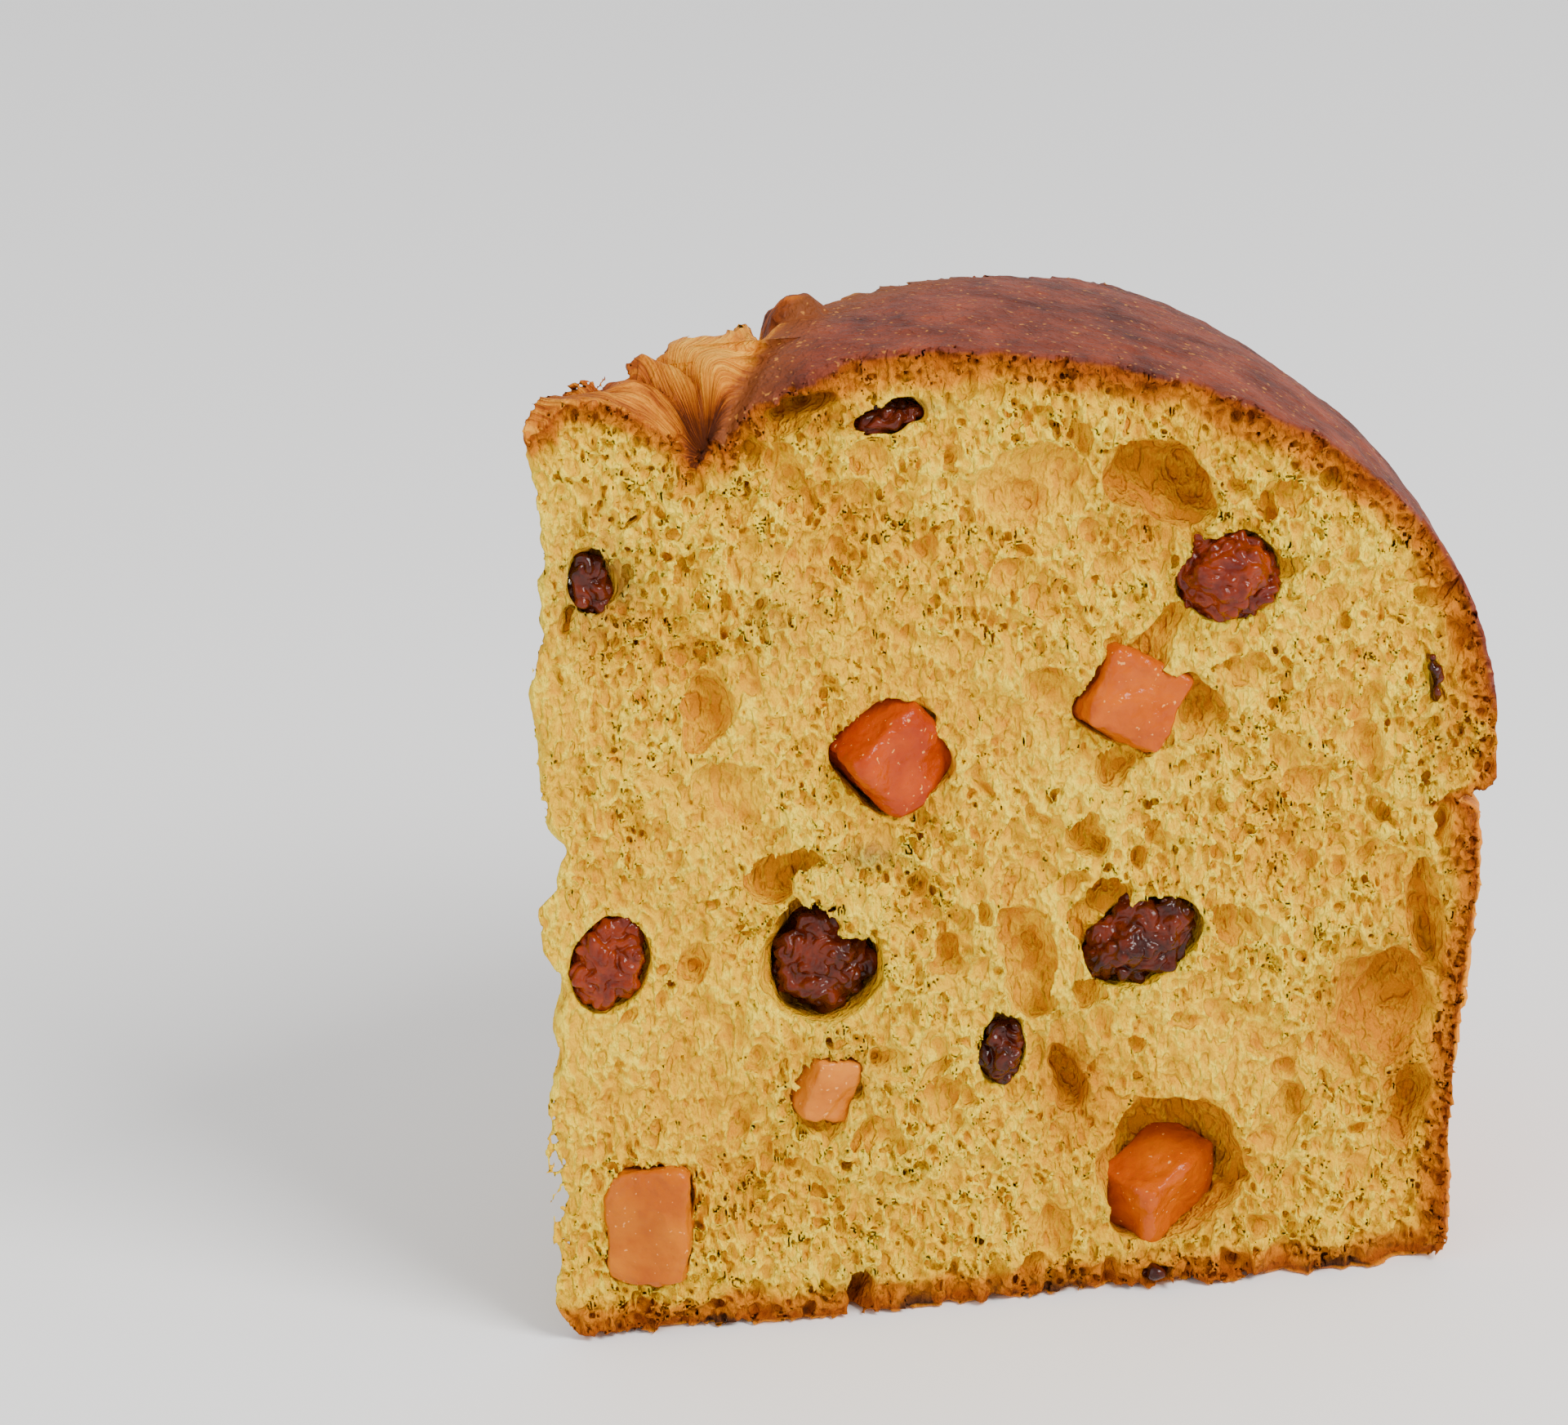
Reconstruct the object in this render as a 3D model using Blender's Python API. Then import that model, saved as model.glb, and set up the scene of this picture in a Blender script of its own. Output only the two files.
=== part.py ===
"""A portion of a low panettone: one tenth of a loaf, cut from the rim to the middle.

The tip of the portion stands on the Z axis. The cut that shows the crumb lies in the plane y = 0 and
runs along +X, and the second cut leaves the tip at CUT_ANGLE to it. The knife passed a little beside the
loaf's own axis, which stands at AXIS_BEHIND_CUT. At the end everything is moved together, so that the
origin lies under the middle of the box.
"""

import math

import bmesh
import bpy
from mathutils import Euler, Matrix, Vector, noise

MM = 0.001

# The loaf, in millimetres
AXIS_BEHIND_CUT = 12.0
BASE_RADIUS = 105.4
BASE_ROUNDING = 3.4
RIM_RADIUS = 110.8
CORNER_RADIUS = 98.0
MOULD_HEIGHT = 59.5
WALL_FLARE = 3.6
WALL_FLARE_TOP = 48.0
CREASE_DEPTH = 2.4
CREASE_HALF_HEIGHT = 2.5
DOME_FOOT = 69.0
DOME_RISE = 51.6
DOME_FULLNESS = 3.4

# The two cuts
CUT_ANGLE = math.radians(33.0)
TIP_DEPTH = 4.2

# The cross cut that opened on the dome: the line in plan where the crust's dark petal ends, and the pit
# beside it from which three folds of torn dough spread, with valleys between them in these directions
PETAL_EDGE = (
    (19.4, -4.0), (20.2, 0.0), (22.5, 2.5), (26.0, 7.5), (28.7, 13.0), (31.5, 18.5), (36.0, 23.0),
    (40.5, 27.5), (47.0, 33.0), (55.0, 41.0),
)
OPENED_FAR_SIDE = ((55.0, 60.0), (-20.0, 60.0), (-20.0, -4.0))
PIT_AT = (19.8, 2.0)
VALLEYS = (math.radians(52), math.radians(102), math.radians(141), math.radians(215))
FOLD_HEIGHT = 2.2
FOLD_REACH = 9.0
OPENED_SINK = 3.4
HUMP_AT = 9.0
HUMP_FALL_OUT = 0.10
HUMP_FALL_IN = 0.045
HUMP_DEPTH = 7.0
PETAL_ROLL = 7.6
PETAL_ROLL_WIDTH = 11.0
PETAL_ROLL_FADE = 7.0
PETAL_BACK_SINK = 1.6
GROOVE_DEPTH = 5.0
GROOVE_WIDTH = 1.9
GROOVE_FADE = 11.0
KNOB_AT = (33.4, 21.6, 114.8)
KNOB_HALF_SIZES = (4.2, 3.8, 4.9)
KNOB_TILT = 24
KNOB_SEED = 5

# How far the torn tip stands out from the loaf's axis, by height
TIP_EDGE = (
    (0.0, 0.2), (5.0, 1.4), (17.0, 2.4), (24.0, 3.0), (31.0, 0.9), (40.0, 0.5), (47.0, -0.6),
    (50.0, 1.9), (55.5, 1.9), (58.0, -1.3), (63.0, -1.6), (67.0, 0.4), (79.0, 1.0), (85.0, 0.7),
    (91.0, -1.1), (99.0, -1.1), (105.0, 0.0), (120.0, -0.2),
)

# The shell's grid: the columns are closer together by the opened cross cut
FINE_COLUMNS = 10
FINE_LENGTH = 0.25
COARSE_COLUMNS = 15
ROWS = 26
SLABS = 6
CRAG_DEPTH = 1.5
CRAG_SIZE = 5.0

GAP = 0.35
BREAD_COLOUR = (0.86, 0.55, 0.13, 1.0)
RAISIN_COLOUR = (0.075, 0.014, 0.008, 1.0)
PEEL_COLOUR = (0.80, 0.17, 0.015, 1.0)

# Open bubbles in the crumb, by cut: place along the cut, place across it (positive is inwards),
# height, half sizes in the same order, tilt in the plane of the cut in degrees
FRONT_HOLLOWS = (
    (56.0, -1.2, 101.9, 7.9, 4.8, 5.2, -8),
    (71.4, 1.5, 101.2, 7.2, 6.8, 5.0, 28),
    (36.4, -0.4, 102.8, 3.4, 3.0, 2.4, 0),
    (21.3, -0.6, 67.6, 4.7, 3.8, 4.2, 20),
    (26.2, 0.2, 57.2, 5.6, 4.4, 3.0, -20),
    (20.2, 0.0, 27.3, 2.2, 3.2, 4.2, 20),
    (72.0, 1.5, 15.4, 8.8, 9.2, 9.6, 0),
    (54.6, -0.4, 44.0, 3.3, 4.2, 7.8, -6),
    (59.6, 0.6, 27.4, 2.9, 4.8, 6.2, -16),
    (97.0, 0.3, 34.4, 6.2, 5.8, 7.8, -28),
    (100.2, 1.2, 20.6, 2.6, 5.0, 5.8, 4),
    (75.4, -0.3, 73.4, 2.9, 3.4, 5.0, -14),
    (30.4, 1.2, 113.0, 4.6, 5.2, 1.9, -24),
    (40.6, 0.4, 111.6, 4.7, 3.6, 1.5, -12),
    (31.6, 0.8, 46.6, 8.0, 6.4, 8.2, 0),
    (6.2, 0.4, 95.2, 3.4, 3.0, 4.8, -18),
    (105.0, 0.2, 85.6, 1.2, 3.4, 4.2, 30),
    (34.1, 0.6, 3.2, 1.9, 5.0, 3.0, 8),
    (46.2, -0.3, 83.1, 2.9, 2.8, 2.9, 0),
    (91.6, -0.5, 28.9, 2.3, 3.2, 5.8, -18),
)
BACK_HOLLOWS = (
    (30.0, -0.6, 84.0, 6.4, 4.4, 4.6, 15),
    (62.0, 0.6, 99.0, 7.0, 5.8, 4.6, -20),
    (84.0, 0.2, 66.0, 4.4, 4.6, 5.8, 10),
    (50.0, -0.4, 50.0, 5.2, 4.0, 4.0, 30),
    (24.0, -0.2, 30.0, 3.4, 3.6, 5.6, -12),
    (90.0, 1.0, 22.0, 6.8, 6.4, 7.0, 0),
)

# Fruit, by cut: name, the place and the half sizes in the same order, then turns about the cut's own
# three axes in degrees
FRONT_RAISINS = (
    ("raisin_by_the_dome", 79.1, 2.0, 89.2, 6.3, 4.0, 5.4, 0, -6, 0),
    ("raisin_at_the_tip", 6.0, 2.5, 47.8, 4.6, 3.3, 6.1, 0, 14, 0),
    ("raisin_in_the_middle", 31.2, 5.0, 44.8, 6.3, 4.6, 6.8, 6, 0, 0),
    ("raisin_long", 68.4, 2.6, 45.0, 7.5, 3.8, 4.8, 0, -27, 0),
    ("raisin_small", 51.3, 1.9, 32.6, 2.9, 2.8, 4.5, 0, 12, 0),
    ("raisin_under_the_crust", 41.0, 3.6, 110.6, 4.6, 2.6, 2.0, 0, -12, 0),
    ("raisin_torn", 6.0, 3.1, 93.6, 2.7, 2.2, 3.7, 0, -10, 0),
    ("raisin_at_the_base", 69.2, 1.3, 2.3, 1.9, 1.7, 1.2, 0, -8, 0),
    ("raisin_sliver", 103.0, 0.9, 74.6, 0.9, 1.3, 2.9, 0, -6, 0),
)
BACK_RAISINS = (
    ("raisin_back_high", 44.0, 2.0, 92.0, 5.4, 3.8, 4.9, 0, 20, 0),
    ("raisin_back_rim", 86.0, 2.2, 84.0, 6.2, 3.8, 4.6, 0, -32, 0),
    ("raisin_back_low", 62.0, 2.1, 26.0, 5.0, 3.7, 5.9, 0, 10, 0),
    ("raisin_back_tip", 19.0, 2.2, 56.0, 4.4, 3.2, 5.0, 0, -14, 0),
)
FRONT_PEELS = (
    ("peel_dark", 39.7, 4.7, 70.2, 5.7, 4.8, 6.0, 8, -36, 22),
    ("peel_square", 67.3, 3.2, 75.0, 5.6, 4.4, 5.3, -8, 31, 6),
    ("peel_at_the_tip", 9.4, 2.6, 14.2, 5.1, 3.2, 7.6, 0, 4, -14),
    ("peel_in_the_hollow", 70.6, 6.9, 11.4, 6.6, 4.4, 4.5, 12, -16, 38),
    ("peel_pale", 30.8, 2.7, 30.0, 3.4, 3.0, 4.3, 10, 16, 20),
)
BACK_PEELS = (
    ("peel_back_high", 70.0, 2.4, 58.0, 5.2, 3.9, 5.6, 10, 24, 16),
    ("peel_back_tip", 33.0, 2.3, 13.0, 5.0, 3.8, 4.6, 0, -18, -12),
    ("peel_back_rim", 94.0, 2.2, 46.0, 4.6, 3.6, 5.0, 8, 40, 8),
)
WRINKLE_DEPTH = 0.13
WRINKLE_SIZE = 0.75
PEEL_ROUNDING = 0.16
PEEL_SLUMP = 0.09


def clear_scene():
    for obj in list(bpy.data.objects):
        bpy.data.objects.remove(obj, do_unlink=True)


def material(name, colour, roughness):
    made = bpy.data.materials.new(name)
    made.use_nodes = True
    shader = made.node_tree.nodes["Principled BSDF"]
    shader.inputs["Base Color"].default_value = colour
    shader.inputs["Roughness"].default_value = roughness
    shader.inputs["Metallic"].default_value = 0.0
    return made


def read_between(points, at):
    """The value at a place along a list of (place, value) pairs, straight between them."""
    for (a, low), (b, high) in zip(points, points[1:]):
        if at <= b:
            share = max(0.0, (at - a) / (b - a))
            return low + (high - low) * share
    return points[-1][1]


# The shape of the loaf

def dome_height(radius):
    share = min(1.0, radius / RIM_RADIUS)
    return DOME_FOOT + DOME_RISE * math.sqrt(max(0.0, 1.0 - share**DOME_FULLNESS))


def to_petal_edge(x, y):
    """Distance to the petal's edge, positive on the dark crust and negative in the opened cut."""
    here = Vector((x, y))
    nearest = 1e9
    for a, b in zip(PETAL_EDGE, PETAL_EDGE[1:]):
        start, along = Vector(a), Vector(b) - Vector(a)
        share = min(1.0, max(0.0, (here - start).dot(along) / along.length_squared))
        nearest = min(nearest, (here - start - along * share).length)
    ring = PETAL_EDGE + OPENED_FAR_SIDE
    inside = False
    for (ax, ay), (bx, by) in zip(ring, ring[1:] + ring[:1]):
        if (ay > y) != (by > y) and x < (bx - ax) * (y - ay) / (by - ay) + ax:
            inside = not inside
    return -nearest if inside else nearest


def fold_height(x, y):
    """Height of the torn folds over the valleys between them, which all start in the pit."""
    across, ahead = x - PIT_AT[0], y - PIT_AT[1]
    angle = math.atan2(ahead, across) % math.tau
    for low, high in zip(VALLEYS, VALLEYS[1:]):
        if low <= angle < high:
            share = (angle - low) / (high - low)
            rise = min(1.0, math.hypot(across, ahead) / FOLD_REACH)
            return FOLD_HEIGHT * 4.0 * share * (1.0 - share) * rise
    return 0.0


def top_height(x, y):
    """Height of the crust over a place of the plan: the dome, its petal and the opened cross cut."""
    height = dome_height(math.hypot(x, y - AXIS_BEHIND_CUT))
    distance = to_petal_edge(x, y)
    behind = max(0.0, y)
    groove = math.exp(-((distance / GROOVE_WIDTH) ** 2))
    groove_depth = GROOVE_DEPTH * math.exp(-behind / GROOVE_FADE)
    roll = PETAL_BACK_SINK + (PETAL_ROLL - PETAL_BACK_SINK) * math.exp(-behind / PETAL_ROLL_FADE)
    if distance > 0.0:
        return height - roll * math.exp(-((distance / PETAL_ROLL_WIDTH) ** 2)) - groove_depth * groove
    edge = roll + groove_depth
    fall = HUMP_FALL_OUT if x > HUMP_AT else HUMP_FALL_IN
    hump = min(edge - OPENED_SINK, fall * (x - HUMP_AT) ** 2) * math.exp(-((y / HUMP_DEPTH) ** 2))
    opened = OPENED_SINK + max(0.0, hump) + FOLD_HEIGHT * 0.5 - fold_height(x, y)
    return height - opened + (opened - edge) * groove


def wall_point(share):
    """A point (radius, height) on the side, from the base's rounding up to the dome's foot."""
    height = DOME_FOOT * share
    rounding = max(0.0, 1.0 - height / BASE_ROUNDING)
    radius = BASE_RADIUS - BASE_ROUNDING * (1.0 - math.sqrt(1.0 - rounding**2))
    radius += WALL_FLARE * min(1.0, height / WALL_FLARE_TOP) ** 2
    if height > MOULD_HEIGHT:
        lip = min(1.0, (height - MOULD_HEIGHT) / CREASE_HALF_HEIGHT)
        radius += (RIM_RADIUS - BASE_RADIUS - WALL_FLARE) * math.sin(lip * math.pi / 2)
    crease = max(0.0, 1.0 - abs(height - MOULD_HEIGHT) / CREASE_HALF_HEIGHT)
    return radius - CREASE_DEPTH * crease**2, height


def plan_place(radius, slab):
    """Where a distance from the tip lies in plan on one of the slabs between the two cuts."""
    angle = CUT_ANGLE * slab
    tip = TIP_DEPTH * slab * (1.0 - radius / RIM_RADIUS)
    return radius * math.cos(angle), radius * math.sin(angle) + tip


def column_shares():
    """Shares of the length of the dome at which the columns stand."""
    fine = [FINE_LENGTH * i / FINE_COLUMNS for i in range(FINE_COLUMNS)]
    rest = 1.0 - FINE_LENGTH
    return fine + [FINE_LENGTH + rest * i / COARSE_COLUMNS for i in range(COARSE_COLUMNS + 1)]


def spaced(points, shares):
    """Points at the given shares of the length of a line through many points."""
    lengths = [0.0]
    for a, b in zip(points, points[1:]):
        lengths.append(lengths[-1] + math.dist(a, b))
    placed = []
    for share in shares:
        wanted = share * lengths[-1]
        i = next(k for k in range(1, len(points)) if lengths[k] >= wanted - 1e-9)
        part = (wanted - lengths[i - 1]) / (lengths[i] - lengths[i - 1])
        placed.append(tuple(a + (b - a) * part for a, b in zip(points[i - 1], points[i])))
    return placed


def reach(radius, slab):
    """How far from the tip a slab meets a radius of the loaf, which is centred behind the cut."""
    angle = CUT_ANGLE * slab
    ahead = math.cos(angle)
    across = math.sin(angle) - TIP_DEPTH * slab / RIM_RADIUS
    start = TIP_DEPTH * slab - AXIS_BEHIND_CUT
    square = ahead**2 + across**2
    middle = across * start
    return (math.sqrt(middle**2 - square * (start**2 - radius**2)) - middle) / square


def outline(slab):
    """The dome from the tip outwards, and the side from the base up to where it meets the dome."""
    top = []
    side = [(reach(radius, slab), height) for radius, height in (wall_point(i / 160) for i in range(160))]
    for i in range(161):
        out = reach(CORNER_RADIUS, slab) * i / 160
        top.append((out, top_height(*plan_place(out, slab))))
        out = reach(RIM_RADIUS - (RIM_RADIUS - CORNER_RADIUS) * (i / 160) ** 2, slab)
        side.append((out, top_height(*plan_place(out, slab))))
    return top, side


def slab_grid(slab):
    """A grid of (distance, height) over one slab, blended from its base, dome, tip and side."""
    columns = column_shares()
    rows = [i / ROWS for i in range(ROWS + 1)]
    top, side = outline(slab)
    top, side = spaced(top, columns), spaced(side, rows)
    peak, foot = top[0][1], side[0][0]
    grid = []
    for i, u in enumerate(columns):
        line = []
        for j, s in enumerate(rows):
            across = [(1 - s) * u * foot + s * top[i][0], s * top[i][1]]
            upward = [u * side[j][0], (1 - u) * s * peak + u * side[j][1]]
            corner = [(1 - s) * u * foot + s * u * top[-1][0], s * ((1 - u) * peak + u * top[-1][1])]
            line.append(tuple(a + b - c for a, b, c in zip(across, upward, corner)))
        grid.append(line)
    return grid


def crag(x, y, z, margin):
    """How far a cut face is torn in at a place: lumps of crumb with hollows between them."""
    here = Vector((x, y, z)) / CRAG_SIZE
    depth = 0.5 + noise.fractal(here, 0.9, 2.1, 3)
    return CRAG_DEPTH * max(0.0, min(1.0, depth)) * margin


def shell_mesh():
    """The uncarved portion: a block of grid cells, shaped, with its six sides as faces."""
    grids = [slab_grid(k / SLABS) for k in range(SLABS + 1)]
    columns = FINE_COLUMNS + COARSE_COLUMNS
    shape = bmesh.new()
    made = {}

    def corner(i, j, k):
        if (i, j, k) not in made:
            radius, height = grids[k][i][j]
            x, y = plan_place(radius, k / SLABS)
            inward = Vector((0.0, 1.0))
            if k == SLABS:
                inward = Vector((math.sin(CUT_ANGLE), -math.cos(CUT_ANGLE)))
            if i == 0:
                x -= read_between(TIP_EDGE, height)
            if 0 < i < columns and 0 < j < ROWS and k in (0, SLABS):
                margin = min(1.0, j / 3, (ROWS - j) / 3, (columns - i) / 2)
                x, y = Vector((x, y)) + inward * crag(x, y, height, margin)
            made[i, j, k] = shape.verts.new(Vector((x, y, height)) * MM)
        return made[i, j, k]

    def side(count_a, count_b, place):
        for a in range(count_a):
            for b in range(count_b):
                shape.faces.new([corner(*place(a + p, b + q)) for p, q in ((0, 0), (1, 0), (1, 1), (0, 1))])

    side(columns, ROWS, lambda a, b: (a, b, 0))
    side(ROWS, columns, lambda a, b: (b, a, SLABS))
    side(ROWS, SLABS, lambda a, b: (columns, a, b))
    side(SLABS, ROWS, lambda a, b: (0, b, a))
    side(columns, SLABS, lambda a, b: (a, ROWS, b))
    side(SLABS, columns, lambda a, b: (b, 0, a))
    bmesh.ops.recalc_face_normals(shape, faces=shape.faces)
    mesh = bpy.data.meshes.new("bread")
    shape.to_mesh(mesh)
    shape.free()
    return mesh


# The frames of the two cuts

def front_cut():
    """Along the cut, into the bread and up, from the loaf's axis."""
    return Matrix.Identity(4)


def back_cut():
    tip = Vector(plan_place(0.0, 1.0))
    rim = Vector(plan_place(RIM_RADIUS, 1.0))
    along = (rim - tip).normalized()
    inward = Vector((along.y, -along.x))
    turned = Matrix.Identity(4)
    turned.col[0][:2] = along
    turned.col[1][:2] = inward
    turned.col[3][:3] = Vector((tip.x, tip.y, 0.0)) * MM
    return turned


def placed(cut, at, turns):
    turn = Euler([math.radians(a) for a in turns]).to_matrix().to_4x4()
    return cut @ Matrix.Translation(Vector(at) * MM) @ turn


def add_object(name, mesh, matrix, collection):
    """An object whose mesh is already in place in the loaf's frame, with its faces outwards."""
    mesh.transform(matrix)
    if matrix.determinant() < 0:
        mesh.flip_normals()
    obj = bpy.data.objects.new(name, mesh)
    collection.objects.link(obj)
    return obj


# Hollows and fruit

def ball(half_sizes, detail, shape_point=None):
    """A ball of triangles stretched to half sizes in millimetres, each point moved by a function."""
    shape = bmesh.new()
    bmesh.ops.create_icosphere(shape, subdivisions=detail, radius=1.0)
    for vert in shape.verts:
        unit = shape_point(vert.co.copy()) if shape_point else vert.co
        vert.co = Vector(a * b for a, b in zip(unit, half_sizes)) * MM
    mesh = bpy.data.meshes.new("ball")
    shape.to_mesh(mesh)
    shape.free()
    return mesh


def raisin_point(seed):
    """Shrinks a ball's points in wrinkles that run mostly lengthwise."""
    offset = Vector((seed * 3.7, seed * 1.9, seed * 5.3))

    def move(point):
        stretched = Vector((point.x, point.y, point.z * 0.55)) / WRINKLE_SIZE + offset
        return point * (1.0 - WRINKLE_DEPTH * abs(noise.noise(stretched)) * 2.0)

    return move


def peel_mesh(half_sizes, seed):
    """A diced piece of candied peel: a block with soft edges whose faces have slumped a little."""
    shape = bmesh.new()
    bmesh.ops.create_cube(shape, size=2.0)
    bmesh.ops.bevel(
        shape, geom=shape.edges[:], offset=PEEL_ROUNDING, offset_type="OFFSET", segments=1, profile=0.5,
        affect="EDGES",
    )
    bmesh.ops.triangulate(shape, faces=shape.faces)
    bmesh.ops.subdivide_edges(
        shape, edges=[e for e in shape.edges if e.calc_length() > 1.0], cuts=1, use_grid_fill=True
    )
    bmesh.ops.triangulate(shape, faces=shape.faces)
    for vert in shape.verts:
        slump = noise.noise(vert.co * 0.8 + Vector((seed, seed * 2.3, 0.0)))
        lean = 0.06 * math.sin(seed * 1.7) * vert.co.z
        vert.co = vert.co * (1.0 - PEEL_SLUMP * (0.5 + slump)) + Vector((lean, 0.0, 0.0))
        vert.co = Vector(a * b for a, b in zip(vert.co, half_sizes)) * MM
    mesh = bpy.data.meshes.new("peel")
    shape.to_mesh(mesh)
    shape.free()
    return mesh


def raisin_mesh(half_sizes, seed):
    detail = 3 if max(half_sizes) > 5.8 else 2
    return ball(half_sizes, detail, raisin_point(seed))


def add_fruit(rows, cut, make_mesh, skin, shown, cutters):
    """Each piece as a node of its own, and as a cutter the same shape a gap larger all round."""
    for seed, (name, *numbers) in enumerate(rows, start=len(shown.objects)):
        at, halves, turns = numbers[:3], numbers[3:6], numbers[6:]
        matrix = placed(cut, at, turns)
        piece = add_object(name, make_mesh(halves, seed), matrix, shown)
        piece.data.materials.append(skin)
        piece.data.shade_smooth()
        add_object(name + "_bed", make_mesh([h + GAP for h in halves], seed), matrix, cutters)


def add_hollows(rows, cut, cutters):
    for number, (along, inward, height, a, b, c, tilt) in enumerate(rows):
        detail = 3 if max(a, b, c) > 8.5 else 2
        mesh = ball((a, b, c), detail)
        add_object(f"hollow_{number}", mesh, placed(cut, (along, inward, height), (0, tilt, 0)), cutters)


def add_bread(cutters, crust, shown):
    """The shell with the knob of its cross cut fused on, less the hollows and the fruit's beds."""
    joined = bpy.data.collections.new("joined")
    shown.children.link(joined)
    upright = placed(Matrix.Identity(4), KNOB_AT, (0, KNOB_TILT, 0))
    knob = add_object("knob", ball(KNOB_HALF_SIZES, 2, raisin_point(KNOB_SEED)), upright, joined)
    bread = add_object("bread", shell_mesh(), Matrix.Identity(4), shown)
    bread.data.materials.append(crust)
    join = bread.modifiers.new("knob", "BOOLEAN")
    join.operation = "UNION"
    join.object = knob
    carve = bread.modifiers.new("hollows and beds", "BOOLEAN")
    carve.operation = "DIFFERENCE"
    carve.operand_type = "COLLECTION"
    carve.collection = cutters
    graph = bpy.context.evaluated_depsgraph_get()
    carved = bpy.data.meshes.new_from_object(bread.evaluated_get(graph), depsgraph=graph)
    bread.modifiers.clear()
    bread.data = carved
    for used in list(joined.objects) + list(cutters.objects):
        bpy.data.objects.remove(used, do_unlink=True)
    return bread


def stand_on_origin(nodes):
    """Moves every mesh so that the bottom centre of the whole portion's box is the origin."""
    points = [vert.co for node in nodes for vert in node.data.vertices]
    low = Vector(min(p[i] for p in points) for i in range(3))
    high = Vector(max(p[i] for p in points) for i in range(3))
    shift = Matrix.Translation((-(low.x + high.x) / 2, -(low.y + high.y) / 2, -low.z))
    for node in nodes:
        node.data.transform(shift)


def main():
    clear_scene()
    shown = bpy.context.scene.collection
    cutters = bpy.data.collections.new("cutters")
    shown.children.link(cutters)

    raisin_skin = material("raisin", RAISIN_COLOUR, 0.35)
    peel_flesh = material("candied_peel", PEEL_COLOUR, 0.25)
    crust = material("bread", BREAD_COLOUR, 0.8)

    for cut, raisins, peels, hollows in (
        (front_cut(), FRONT_RAISINS, FRONT_PEELS, FRONT_HOLLOWS),
        (back_cut(), BACK_RAISINS, BACK_PEELS, BACK_HOLLOWS),
    ):
        add_fruit(raisins, cut, raisin_mesh, raisin_skin, shown, cutters)
        add_fruit(peels, cut, peel_mesh, peel_flesh, shown, cutters)
        add_hollows(hollows, cut, cutters)

    add_bread(cutters, crust, shown)
    stand_on_origin(list(shown.objects))


main()
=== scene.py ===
import math

import bpy
import numpy as np
from mathutils import Euler, Matrix, Vector


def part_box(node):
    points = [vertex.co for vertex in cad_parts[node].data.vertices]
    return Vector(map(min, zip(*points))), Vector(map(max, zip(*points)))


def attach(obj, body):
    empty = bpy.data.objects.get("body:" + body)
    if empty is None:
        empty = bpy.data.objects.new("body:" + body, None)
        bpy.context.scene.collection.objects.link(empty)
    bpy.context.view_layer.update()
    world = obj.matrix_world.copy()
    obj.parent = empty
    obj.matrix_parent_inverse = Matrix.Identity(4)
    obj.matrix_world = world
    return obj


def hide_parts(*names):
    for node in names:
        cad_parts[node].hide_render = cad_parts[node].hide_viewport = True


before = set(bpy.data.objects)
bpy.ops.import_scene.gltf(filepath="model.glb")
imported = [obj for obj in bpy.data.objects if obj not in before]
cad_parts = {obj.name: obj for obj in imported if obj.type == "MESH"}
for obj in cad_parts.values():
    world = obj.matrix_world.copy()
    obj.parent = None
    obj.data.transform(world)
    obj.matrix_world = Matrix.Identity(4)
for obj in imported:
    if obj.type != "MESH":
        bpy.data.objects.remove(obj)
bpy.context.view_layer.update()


# The bread. A tenth of a low panettone, cut from the rim to the middle: a soft yellow dough full of
# bubbles, baked dark on its dome and lighter brown where the paper mould stood round it. It is worked out
# as a solid on a grid, in millimetres from the foot of the portion's tip, and the cuts are torn in it.

AXIS_BEHIND_CUT = 12.0
RIM_RADIUS = 110.8
BASE_RADIUS = 105.4
BASE_ROUNDING = 3.4
MOULD_HEIGHT = 59.5
WALL_FLARE = 3.6
WALL_FLARE_TOP = 48.0
CREASE_DEPTH = 2.6
CREASE_HALF_HEIGHT = 2.3
DOME_FOOT = 69.0
DOME_RISE = 51.6
DOME_FULLNESS = 3.4
CUT_ANGLE = math.radians(33.0)
TIP_DEPTH = 4.2

# The grids: a fine one for the shown cut, and a coarser one for all that lies further back
SOLID_LOW = (-6.0, -1.8, -0.9)
SOLID_HIGH = (112.6, 65.8, 122.4)
SEAM_AT = 10.0
SEAM_OVERLAP = 1.5
SEAM_SINK, SEAM_SINK_FROM = 0.2, 0.25
FRONT_STEP = 0.3
BACK_STEP = 0.5

bread_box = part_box("bread")
tip_foot = Vector((bread_box[1].x - RIM_RADIUS / 1000, bread_box[0].y, 0.0))


def grid_axes(step, low, high):
    """Places of a grid's planes along the three axes, which fall on the same places in every grid."""
    return [np.arange(a, b, step, dtype=np.float32) for a, b in zip(low, high)]


def smoothed(lattice, axis, places):
    """Blends a lattice's values smoothly (cubic B-spline) along an axis, at places given in its spacing."""
    start = np.floor(places).astype(int)
    t = (places - start).astype(np.float32)
    along = [-1 if k == axis else 1 for k in range(3)]
    parts = ((1 - t) ** 3, 3 * t**3 - 6 * t**2 + 4, -3 * t**3 + 3 * t**2 + 3 * t + 1, t**3)
    return sum(np.take(lattice, start + k, axis) * (part / 6).reshape(along) for k, part in enumerate(parts))


# Blending evens the random values out; this brings their spread back to about 1
CLOUD_STRENGTH = 1.9


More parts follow.
